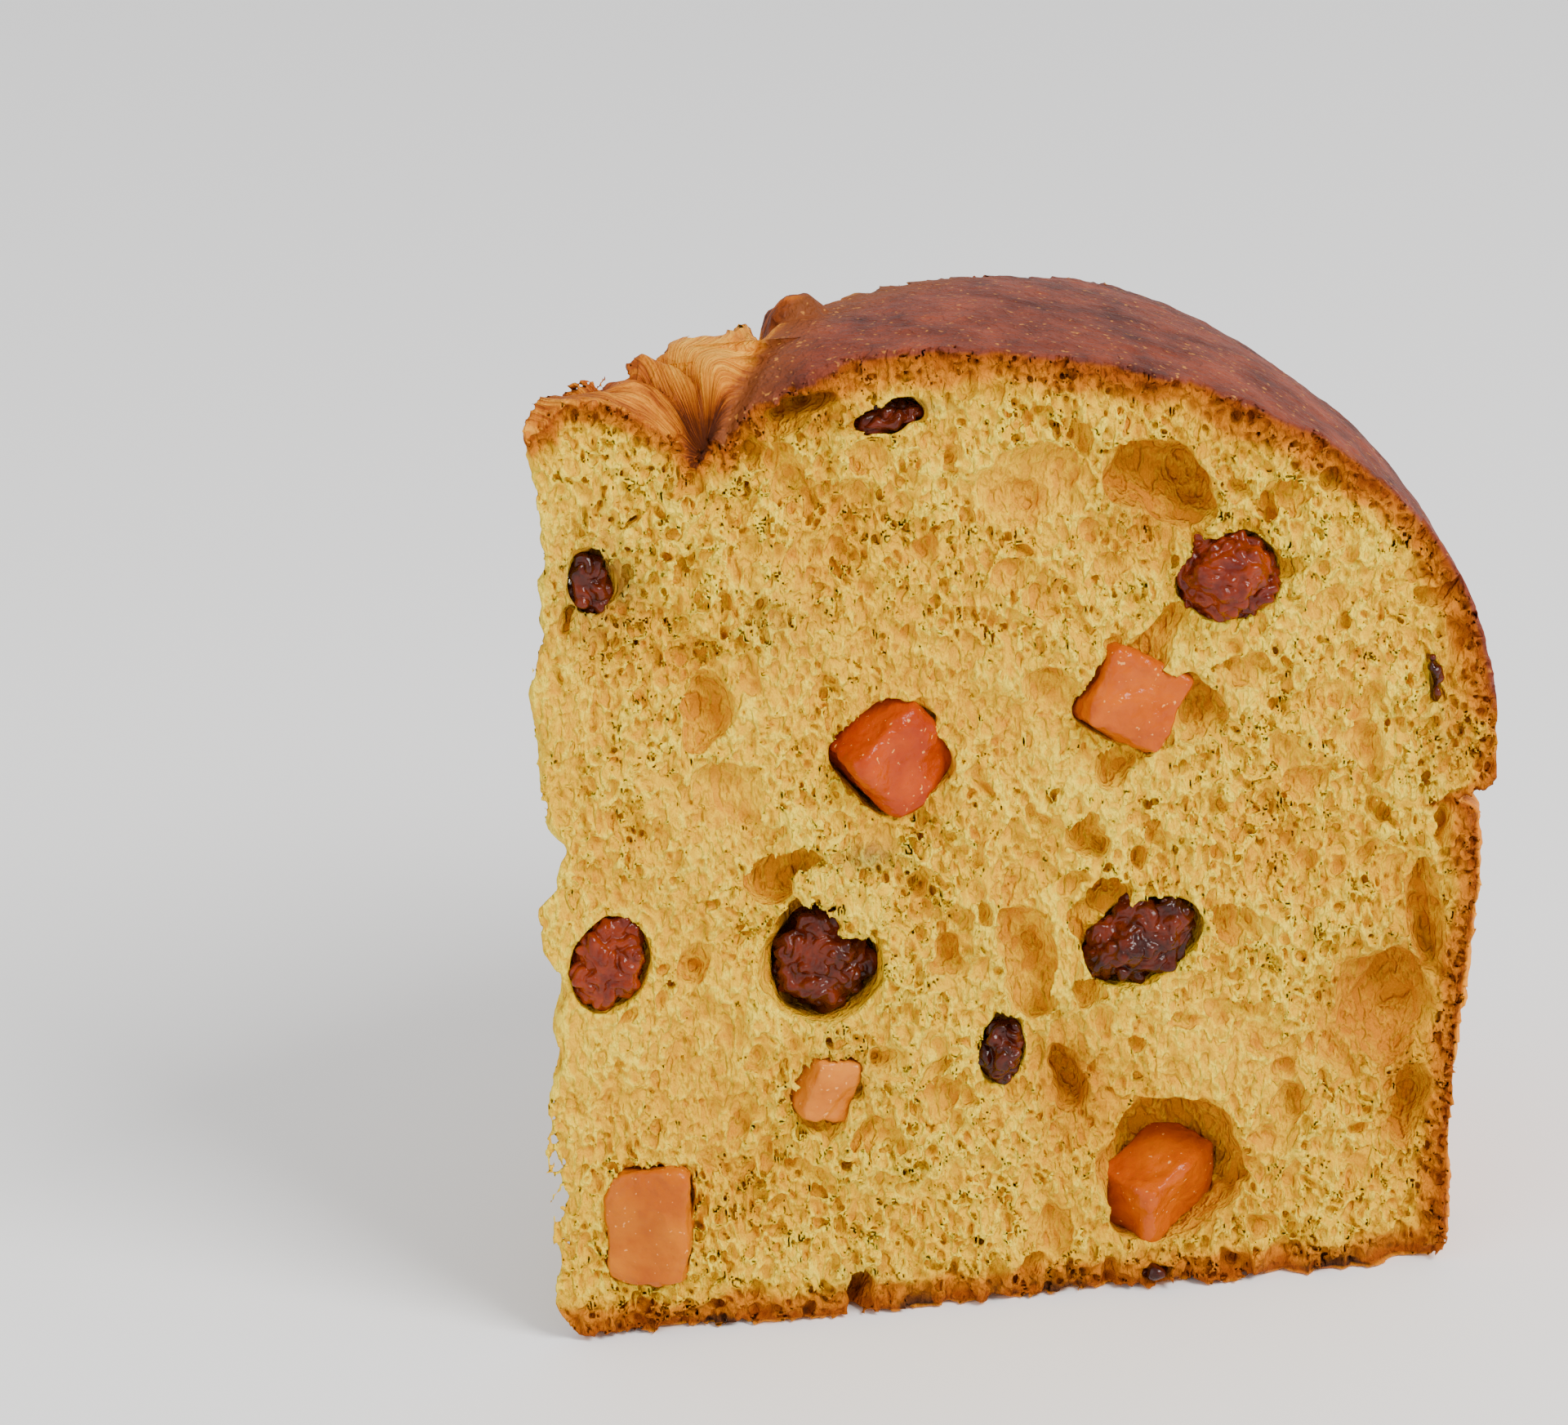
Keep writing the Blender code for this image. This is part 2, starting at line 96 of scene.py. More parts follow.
def clouds(grid, seed, *spacings):
    """Smooth random values on a grid, one spacing for each of its axes; 0 leaves that axis out."""
    sizes = [
        int((high - low) / spacing) + 6 if spacing else 1
        for low, high, spacing in zip(SOLID_LOW, SOLID_HIGH, spacings)
    ]
    values = np.random.default_rng(seed).standard_normal(sizes, np.float32)
    for axis in (1, 0, 2):
        if spacings[axis]:
            values = smoothed(values, axis, (grid[axis] - SOLID_LOW[axis]) / spacings[axis])
    return values * CLOUD_STRENGTH


def waves(grid, *rows):
    """Smooth ups and downs: the sum of rows of height, seed and spacings along the three axes."""
    return sum(height * clouds(grid, *draw) for height, *draw in rows)


def ridges(grid, *rows):
    """The same rows with sharp creases where each changes sign, and rounded in between."""
    return sum(height * np.abs(clouds(grid, *draw)) for height, *draw in rows)


PLAN_CELLS = 64


def plan_clouds(seed, u, v):
    """Smooth random values over any two coordinates in plan, with a spacing of 1 in both."""
    rows = np.random.default_rng(seed).standard_normal((PLAN_CELLS, PLAN_CELLS))
    a, b = np.floor(u).astype(int), np.floor(v).astype(int)
    s, t = u - a, v - b
    s, t = s * s * (3 - 2 * s), t * t * (3 - 2 * t)
    corner = [rows[(a + i) % PLAN_CELLS, (b + j) % PLAN_CELLS] for i in (0, 1) for j in (0, 1)]
    return (corner[0] * (1 - t) + corner[1] * t) * (1 - s) + (corner[2] * (1 - t) + corner[3] * t) * s


# Where the cross cut on the dome opened: the edge of the dark petal, its roll, the groove beside it, and
# the pit from which three folds of torn dough spread, with valleys between them in these directions
PETAL_EDGE = (
    (19.4, -4.0), (20.2, 0.0), (22.5, 2.5), (26.0, 7.5), (28.7, 13.0), (31.5, 18.5), (36.0, 23.0),
    (40.5, 27.5), (47.0, 33.0), (55.0, 41.0),
)
OPENED_FAR_SIDE = ((55.0, 60.0), (-20.0, 60.0), (-20.0, -4.0))
PIT_AT = (19.8, 2.0)
VALLEYS = (math.radians(52), math.radians(102), math.radians(141), math.radians(215))
FOLD_HEIGHT = 3.0
FOLD_REACH = 5.0
FOLD_ROUNDNESS = 0.6
FOLD_WANDER = 0.22
FOLD_WANDER_SPACING = 6.0
FIBRES_PER_RADIAN = 14.0
FIBRE_TWIST = 0.3
FIBRE_WANDER = 3.5
FIBRE_WANDER_SPACING = 7.0
FIBRES_FROM = 3.6
FIBRES_FULL = 12.6
FIBRE_WIDTH = 1.5
FIBRE_LENGTH = 5.0
FIBRE_HEIGHT = 0.22
FOLD_SEED, FIBRE_WANDER_SEED, FIBRE_SEED = 33, 31, 32
PLAN_SHIFT, ACROSS_SHIFT = 20, 200
OPENED_SINK = 3.4
FRONT_SINK = 2.3
FRONT_SINK_DEPTH = 8.0
FRONT_SINK_END = 24.0
FRONT_SINK_FADE = 12.0
PIT_DEPTH = 2.6
PIT_WIDTH = 2.3
HUMP_AT = 6.5
HUMP_FALL_OUT = 0.055
HUMP_FALL_IN = 0.05
HUMP_DEPTH = 5.5
PETAL_ROLL = 7.6
PETAL_ROLL_WIDTH = 11.0
PETAL_ROLL_FADE = 5.0
PETAL_BACK_SINK = 1.6
GROOVE_DEPTH = 5.0
GROOVE_WIDTH = 1.9
GROOVE_FADE = 5.0
KNOB_AT = (33.2, 21.4, 115.2)
KNOB_HALF_SIZES = (4.9, 4.2, 5.5)


def to_petal_edge(px, py):
    """Distance to the petal's edge, positive on the dark crust and negative in the opened cut."""
    nearest = np.full(np.broadcast(px, py).shape, 1e9)
    for (ax, ay), (bx, by) in zip(PETAL_EDGE, PETAL_EDGE[1:]):
        dx, dy = bx - ax, by - ay
        share = np.clip(((px - ax) * dx + (py - ay) * dy) / (dx * dx + dy * dy), 0.0, 1.0)
        nearest = np.minimum(nearest, np.hypot(px - ax - share * dx, py - ay - share * dy))
    ring = PETAL_EDGE + OPENED_FAR_SIDE
    inside = np.zeros(nearest.shape, bool)
    for (ax, ay), (bx, by) in zip(ring, ring[1:] + ring[:1]):
        if ay != by:
            inside ^= ((ay > py) != (by > py)) & (px < (bx - ax) * (py - ay) / (by - ay) + ax)
    return np.where(inside, -nearest, nearest)


def around_pit(px, py):
    """Direction and distance of a place in plan from the pit where the torn folds meet."""
    across, ahead = px - PIT_AT[0], py - PIT_AT[1]
    return np.arctan2(ahead, across) % math.tau, np.hypot(across, ahead)


def fold_height(px, py):
    """Height of the torn folds over the valleys between them."""
    angle, distance = around_pit(px, py)
    places = (v / FOLD_WANDER_SPACING + PLAN_SHIFT for v in (px, py))
    angle = angle + FOLD_WANDER * plan_clouds(FOLD_SEED, *places)
    folds = np.zeros(angle.shape)
    for low, high in zip(VALLEYS, VALLEYS[1:]):
        share = np.clip((angle - low) / (high - low), 0.0, 1.0)
        folds += FOLD_HEIGHT * (4.0 * share * (1.0 - share)) ** FOLD_ROUNDNESS
    return folds * (1.0 - np.exp(-distance / FOLD_REACH))


def fibres(px, py):
    """Fine ridges of dough that was pulled apart, which run away from the pit and bend a little.

    Gives the place across them and along them too, from which the finest ones are drawn in the colour.
    """
    angle, distance = around_pit(px, py)
    places = (v / FIBRE_WANDER_SPACING + PLAN_SHIFT for v in (px, py))
    wander = plan_clouds(FIBRE_WANDER_SEED, *places)
    across = angle * FIBRES_PER_RADIAN + FIBRE_TWIST * distance + FIBRE_WANDER * wander
    places = across / FIBRE_WIDTH + ACROSS_SHIFT, distance / FIBRE_LENGTH + PLAN_SHIFT
    return plan_clouds(FIBRE_SEED, *places), across, distance


def lowered(px, py):
    """How far the top lies below the plain dome over a place of the plan."""
    distance = to_petal_edge(px, py)
    behind = np.maximum(0.0, py)
    groove = np.exp(-((distance / GROOVE_WIDTH) ** 2))
    groove_depth = GROOVE_DEPTH * np.exp(-behind / GROOVE_FADE)
    roll = PETAL_BACK_SINK + (PETAL_ROLL - PETAL_BACK_SINK) * np.exp(-behind / PETAL_ROLL_FADE)
    petal = roll * np.exp(-((distance / PETAL_ROLL_WIDTH) ** 2)) + groove_depth * groove
    edge = roll + groove_depth
    away_from_pit = around_pit(px, py)[1]
    front_sink = FRONT_SINK * np.exp(-((py / FRONT_SINK_DEPTH) ** 2))
    front_sink = front_sink * np.clip((FRONT_SINK_END - px) / FRONT_SINK_FADE, 0.0, 1.0)
    fall = np.where(px > HUMP_AT, HUMP_FALL_OUT, HUMP_FALL_IN)
    hump = np.minimum(edge - OPENED_SINK, fall * (px - HUMP_AT) ** 2) * np.exp(-((py / HUMP_DEPTH) ** 2))
    opened = OPENED_SINK + front_sink + np.maximum(0.0, hump) + FOLD_HEIGHT * 0.5 - fold_height(px, py)
    opened = opened + PIT_DEPTH * np.exp(-((away_from_pit / PIT_WIDTH) ** 2))
    fibred = np.clip((away_from_pit - FIBRES_FROM) / (FIBRES_FULL - FIBRES_FROM), 0.0, 1.0)
    opened = opened - FIBRE_HEIGHT * fibres(px, py)[0] * fibred
    return np.where(distance > 0.0, petal, opened + (edge - opened) * groove)


def wall_radius(height):
    rounding = np.clip(1.0 - height / BASE_ROUNDING, 0.0, 1.0)
    radius = BASE_RADIUS - BASE_ROUNDING * (1.0 - np.sqrt(1.0 - rounding**2))
    radius = radius + WALL_FLARE * np.clip(height / WALL_FLARE_TOP, 0.0, 1.0) ** 2
    lip = np.clip((height - MOULD_HEIGHT) / CREASE_HALF_HEIGHT, 0.0, 1.0)
    radius = radius + (RIM_RADIUS - BASE_RADIUS - WALL_FLARE) * np.sin(lip * math.pi / 2)
    crease = np.clip(1.0 - np.abs(height - MOULD_HEIGHT) / CREASE_HALF_HEIGHT, 0.0, 1.0)
    return radius - CREASE_DEPTH * crease**2


def shell_distance(px, py, pz, sunk=None):
    """Distance outside the loaf's dome and side, negative inside."""
    radius = np.maximum(np.hypot(px, py - AXIS_BEHIND_CUT), 0.1)
    sunk = lowered(px, py) if sunk is None else sunk
    raised = np.maximum(pz + sunk - DOME_FOOT, 0.0)
    value = (radius / RIM_RADIUS) ** DOME_FULLNESS + (raised / DOME_RISE) ** 2 - 1.0
    slope = np.hypot(DOME_FULLNESS * (radius / RIM_RADIUS) ** (DOME_FULLNESS - 1) / RIM_RADIUS,
                     2.0 * raised / DOME_RISE**2)
    return np.where(raised > 0.0, value / np.maximum(slope, 1e-3), radius - wall_radius(pz))


# The tip's outline by height, and the direction of the second cut
TIP_EDGE = (
    (0.0, 0.2), (5.0, 1.4), (17.0, 2.4), (24.0, 3.0), (31.0, 0.9), (40.0, 0.5), (47.0, -0.6),
    (50.0, 1.9), (55.5, 1.9), (58.0, -1.3), (63.0, -1.6), (67.0, 0.4), (79.0, 1.0), (85.0, 0.7),
    (91.0, -1.1), (99.0, -1.1), (105.0, 0.0), (120.0, -0.2),
)
back_rim = Vector((RIM_RADIUS * math.cos(CUT_ANGLE), RIM_RADIUS * math.sin(CUT_ANGLE)))
back_along = (back_rim - Vector((0.0, TIP_DEPTH))).normalized()


def behind_back_cut(px, py):
    return -back_along.y * px + back_along.x * (py - TIP_DEPTH)


# Open bubbles that are large enough to be told apart, by cut: place along the cut, place across it
# (positive is inwards), height, half sizes in the same order, tilt in the plane of the cut in degrees
FRONT_HOLLOWS = (
    (56.0, -1.2, 101.9, 7.9, 4.8, 5.2, -8),
    (71.4, 1.5, 101.2, 7.2, 6.8, 5.0, 28),
    (36.4, -0.4, 102.8, 3.4, 3.0, 2.4, 0),
    (21.3, -0.6, 67.6, 4.7, 3.8, 4.2, 20),
    (26.2, 0.2, 57.2, 5.6, 4.4, 3.0, -20),
    (20.2, 0.0, 27.3, 2.2, 3.2, 4.2, 20),
    (72.0, 1.5, 15.4, 8.8, 9.2, 9.6, 0),
    (54.6, -0.4, 44.0, 3.3, 4.2, 7.8, -6),
    (59.6, 0.6, 27.4, 2.9, 4.8, 6.2, -16),
    (97.0, 0.3, 34.4, 6.2, 5.8, 7.8, -28),
    (100.2, 1.2, 20.6, 2.6, 5.0, 5.8, 4),
    (75.4, -0.3, 73.4, 2.9, 3.4, 5.0, -14),
    (30.4, 1.2, 113.0, 4.6, 5.2, 1.9, -24),
    (40.6, 0.4, 111.6, 4.7, 3.6, 1.5, -12),
    (30.4, 1.0, 46.6, 7.0, 6.2, 7.7, 0),
    (6.2, 0.4, 95.2, 3.4, 3.0, 4.8, -18),
    (105.0, 0.2, 85.6, 1.2, 3.4, 4.2, 30),
    (34.1, 0.6, 3.2, 1.9, 5.0, 3.0, 8),
    (46.2, -0.3, 83.1, 2.9, 2.8, 2.9, 0),
    (91.6, -0.5, 28.9, 2.3, 3.2, 5.8, -18),
    (102.3, 0.6, 44.5, 2.2, 4.0, 8.0, -8),
    (105.4, 0.0, 78.5, 1.7, 2.6, 6.5, 6),
    (102.2, 0.6, 92.2, 1.0, 2.6, 3.0, 28),
    (104.0, 0.4, 56.5, 1.3, 2.6, 3.6, 10),
    (7.6, 1.4, 97.8, 1.7, 2.6, 1.1, -38),
    (11.6, 1.0, 101.2, 1.1, 2.4, 0.5, -30),
    (3.6, 1.2, 90.6, 1.0, 2.4, 1.5, 20),
)
BACK_HOLLOWS = (
    (30.0, -0.6, 84.0, 6.4, 4.4, 4.6, 15),
    (62.0, 0.6, 99.0, 7.0, 5.8, 4.6, -20),
    (84.0, 0.2, 66.0, 4.4, 4.6, 5.8, 10),
    (50.0, -0.4, 50.0, 5.2, 4.0, 4.0, 30),
    (24.0, -0.2, 30.0, 3.4, 3.6, 5.6, -12),
    (90.0, 1.0, 22.0, 6.8, 6.4, 7.0, 0),
)

# Torn crumb that hangs over the raisin in the middle: place and half sizes
OVERHANGS = ((31.0, 1.2, 55.8, 4.2, 1.7, 2.8), (36.0, 1.2, 52.2, 3.6, 1.7, 3.8))

# Where the fruit is bedded: name, the place and the half sizes in the same order, then turns about the
# cut's own three axes in degrees
FRONT_RAISINS = (
    ("raisin_by_the_dome", 79.1, 2.0, 89.2, 6.3, 4.0, 5.4, 0, -6, 0),
    ("raisin_at_the_tip", 6.0, 2.5, 47.8, 4.6, 3.3, 6.1, 0, 14, 0),
    ("raisin_in_the_middle", 31.2, 5.0, 44.8, 6.3, 4.6, 6.8, 6, 0, 0),
    ("raisin_long", 68.4, 2.6, 45.0, 7.5, 3.8, 4.8, 0, -27, 0),
    ("raisin_small", 51.3, 1.9, 32.6, 2.9, 2.8, 4.5, 0, 12, 0),
    ("raisin_under_the_crust", 41.0, 3.6, 110.6, 4.6, 2.6, 2.0, 0, -12, 0),
    ("raisin_torn", 6.0, 3.1, 93.6, 2.7, 2.2, 3.7, 0, -10, 0),
    ("raisin_at_the_base", 69.2, 1.3, 2.3, 1.9, 1.7, 1.2, 0, -8, 0),
    ("raisin_sliver", 103.0, 0.9, 74.6, 0.9, 1.3, 2.9, 0, -6, 0),
)
BACK_RAISINS = (
    ("raisin_back_high", 44.0, 2.0, 92.0, 5.4, 3.8, 4.9, 0, 20, 0),
    ("raisin_back_rim", 86.0, 2.2, 84.0, 6.2, 3.8, 4.6, 0, -32, 0),
    ("raisin_back_low", 62.0, 2.1, 26.0, 5.0, 3.7, 5.9, 0, 10, 0),
    ("raisin_back_tip", 19.0, 2.2, 56.0, 4.4, 3.2, 5.0, 0, -14, 0),
)
FRONT_PEELS = (
    ("peel_dark", 39.7, 4.7, 70.2, 5.7, 4.8, 6.0, 8, -36, 22),
    ("peel_square", 67.3, 3.2, 75.0, 5.6, 4.4, 5.3, -8, 31, 6),
    ("peel_at_the_tip", 9.4, 2.6, 14.2, 5.1, 3.2, 7.6, 0, 4, -14),
    ("peel_in_the_hollow", 70.6, 6.9, 11.4, 6.6, 4.4, 4.5, 12, -16, 38),
    ("peel_pale", 30.8, 2.7, 30.0, 3.4, 3.0, 4.3, 10, 16, 20),
)
BACK_PEELS = (
    ("peel_back_high", 70.0, 2.4, 58.0, 5.2, 3.9, 5.6, 10, 24, 16),
    ("peel_back_tip", 33.0, 2.3, 13.0, 5.0, 3.8, 4.6, 0, -18, -12),
    ("peel_back_rim", 94.0, 2.2, 46.0, 4.6, 3.6, 5.0, 8, 40, 8),
)
# Fruit that shows only through gaps in the crumb: nothing is cleared away in front of these
HALF_BURIED = (
    "peel_pale", "peel_at_the_tip", "raisin_under_the_crust", "raisin_torn", "raisin_sliver",
    "raisin_back_tip",
)
# How much wider the beds are than the fruit's plain lumps, negative where the crumb clings to it
BED_GAP = -0.15
BED_WARP = 0.3
RAISIN_BOXINESS = 2.0
PEEL_BOXINESS = 5.0

front_cut = Matrix.Identity(4)
back_cut = Matrix.Identity(4)
back_cut.col[0][:2] = back_along
back_cut.col[1][:2] = (back_along.y, -back_along.x)
back_cut.col[3][1] = TIP_DEPTH
BUBBLE_SOFTNESS = 0.22
CARVE_REACH, CARVE_MARGIN = 1.35, 0.8


def carve(field, grid, warp, cut, at, halves, turns, boxiness=2.0, open_ahead=False):
    """Takes a bubble or a bed out of the bread, bent by the dough round it, with its rim softened."""
    placed = cut @ Matrix.Translation(at) @ Euler([math.radians(a) for a in turns]).to_matrix().to_4x4()
    reach = CARVE_REACH * max(halves) + CARVE_MARGIN
    block = tuple(
        slice(*np.searchsorted(places, (centre - reach, centre + reach)))
        for places, centre in zip(grid, placed.translation)
    )
    if any(part.start >= part.stop for part in block):
        return
    away = [
        (places[part] - centre).reshape([-1 if k == axis else 1 for k in range(3)]) + warp[axis][block]
        for axis, (places, part, centre) in enumerate(zip(grid, block, placed.translation))
    ]
    if open_ahead:
        inward = cut.col[1]
        ahead = np.minimum(0.0, inward[0] * away[0] + inward[1] * away[1])
        away = [away[0] - inward[0] * ahead, away[1] - inward[1] * ahead, away[2]]
    total = 0.0
    for column, half in zip(placed.to_3x3().transposed(), halves):
        share = (column[0] * away[0] + column[1] * away[1] + column[2] * away[2]) / half
        total = total + np.abs(share) ** boxiness
    empty = (1.0 - total ** (1.0 / boxiness)) * min(halves)
    here = field[block]
    rim = np.maximum(BUBBLE_SOFTNESS - np.abs(here - empty), 0.0)
    field[block] = np.maximum(here, empty) + rim * rim / (4.0 * BUBBLE_SOFTNESS)


def outside_lump(places, middle, halves):
    """How far each place lies outside a rounded lump, negative inside it."""
    total = sum(((v - c) / h) ** 2 for v, c, h in zip(places, middle, halves))
    return (np.sqrt(total) - 1.0) * min(halves)


def near_hollow(hollows, along, inward, height):
    """How far each place lies outside the nearest of the large hollows."""
    nearest = np.full(along.shape, 99.0)
    for u, w, h, a, b, c, _ in hollows:
        ratio = np.sqrt(((along - u) / a) ** 2 + ((inward - w) / b) ** 2 + ((height - h) / c) ** 2)
        nearest = np.minimum(nearest, (ratio - 1.0) * min(a, b, c))
    return nearest


# Bubble sizes: how many in a square millimetre of cut, smallest and largest radius. Their middles lie
# near the cut, so that most are open; they are drawn out and tilted, and fewer and smaller at the tip.
BUBBLE_KINDS = ((0.06, 0.55, 0.9), (0.04, 0.9, 1.7), (0.011, 1.6, 2.9))
BUBBLE_ALONG = (-3.0, 110.0)
BUBBLE_HEIGHT = (0.5, 121.0)
BUBBLE_CUT_AREA = 110.0 * 120.0
BUBBLE_SIZE_POWER = 0.6
BUBBLE_MIDDLE = 0.5
BUBBLE_INWARD = (-0.7, 0.45)
BUBBLE_STRETCH = (0.9, 1.7)
BUBBLE_TILT = 26.0
BUBBLE_DEPTH = 1.1
BUBBLE_CLEAR_OF_CRUST = 1.3
BUBBLE_CLEAR_OF_HOLLOWS = 0.4
TIP_END = 16.0
LARGEST_AT_TIP, LARGER_AWAY = 0.35, 0.05
BUBBLE_SEED = 24


def small_bubbles():
    """Rows of cut, place, half sizes and turns for all the bubbles too small for the lists above."""
    random = np.random.default_rng(BUBBLE_SEED)
    rows = []
    for cut, hollows in ((front_cut, FRONT_HOLLOWS), (back_cut, BACK_HOLLOWS)):
        for density, smallest, largest in BUBBLE_KINDS:
            count = int(density * BUBBLE_CUT_AREA)
            along = random.uniform(*BUBBLE_ALONG, count)
            height = random.uniform(*BUBBLE_HEIGHT, count)
            radius = smallest + (largest - smallest) * random.power(BUBBLE_SIZE_POWER, count)
            inward = BUBBLE_MIDDLE + radius * random.uniform(*BUBBLE_INWARD, count)
            stretch = random.uniform(*BUBBLE_STRETCH, count)
            tilt = random.normal(0.0, BUBBLE_TILT, count)
            plan = [cut[k][3] + cut[k][0] * along + cut[k][1] * inward for k in range(2)]
            keep = near_hollow(hollows, along, inward, height) > BUBBLE_CLEAR_OF_HOLLOWS + 0.5 * radius
            largest_here = LARGEST_AT_TIP + LARGER_AWAY * np.maximum(along, 0.0)
            keep &= (along > TIP_END) | (radius < largest_here)
            keep &= shell_distance(*plan, height) < -BUBBLE_CLEAR_OF_CRUST - radius
            kept = [values[keep] for values in (along, inward, height, radius, stretch, tilt)]
            for u, w, h, r, s, t in zip(*kept):
                rows.append((cut, (u, w, h), (r, r * BUBBLE_DEPTH, r * s), (0.0, t, 0.0)))
    return rows


# Waves, ridges and grains: height, seed of the draw, spacings of its values along the three axes
SKIN = ((0.09, 1, 2.2, 2.2, 2.2), (0.07, 2, 0.8, 0.8, 0.8), (0.22, 3, 11.0, 11.0, 11.0))
WALL_WRINKLES = (0.25, 4, 1.6, 1.6, 12.0)
WALL_GRAINS = (0.08, 5, 0.6, 0.6, 0.6)
UNDERSIDE = (0.35, 6, 1.4, 1.4, 0)
CRUMB_GRAINS = (1.0, 12, 0.45, 0.6, 0.5)
CELL_WALLS = ((1.0, 11, 0.75, 1.1, 1.15), (1.0, 19, 0.8, 1.1, 1.3))
RAGGED = ((0.75, 9, 2.4, 3.0, 3.2), (0.42, 7, 1.25, 1.6, 1.9))
STRANDS = (1.1, 13, 0.75, 1.1, 5.0)
UNEVEN = (0.35, 14, 10.0, 10.0, 10.0)
LUMPS = (1.0, 8, 0.9, 0.9, 0.9)
TORN_FRONT = ((0.55, 15, 7.0, 0, 7.0), (0.35, 16, 2.2, 0, 2.6))
TORN_BACK = (0.45, 17, 6.0, 6.0, 6.0)
TIP_NOTCHES = (0.4, 18, 0, 1.8, 1.8)
WARP = ((0.75, 20, 3.6), (0.4, 24, 1.2))

# Depths of the torn crumb's cells and of the strands it was pulled into, and where and how much it was
CELL_DEPTH = 2.3
CELL_CAP = 0.5
CELL_GRAIN = 0.42
CELL_RAISED = 1.15
STRAND_GRAIN = 0.32
STRAND_RAGGED = 0.7
STRAND_RAISED = 0.9
PULLED_AT = (60.0, 42.0)
PULLED_HALVES = (9.0, 20.0)
PULLED_SHARE = 0.85
# The granular layer under the crust: where it is full, how far it fades, and its make-up
GRANULAR_DEPTH = 1.5
GRANULAR_FADE = 3.0
GRANULAR_GRAIN = 0.6
GRANULAR_LUMP = 1.5
GRANULAR_RAISED = 0.7
LUMP_CAP = 0.8
CRUMB_LOST_IN_IT = 0.55
# How far the cuts' mean faces lie inside their planes
CUT_INSET = 0.9
TIP_RAGGEDNESS = 0.35
# The relief's mean strength and its limits; it is calmer towards the tip, as the tear is
RELIEF_MEAN, RELIEF_LEAST, RELIEF_MOST = 0.85, 0.45, 1.25
RELIEF_AT_TIP = (9.0, 20.0, 0.5)
TEAR_AT_TIP = (6.0, 22.0, 0.3)
KNOB_ROUGHNESS = 3.0
OVERHANG_RAGGEDNESS = 0.6
WALL_FADE = 4.0


def calmer_at_tip(along, start, span, least):
    return np.clip((along + start) / span, least, 1.0)


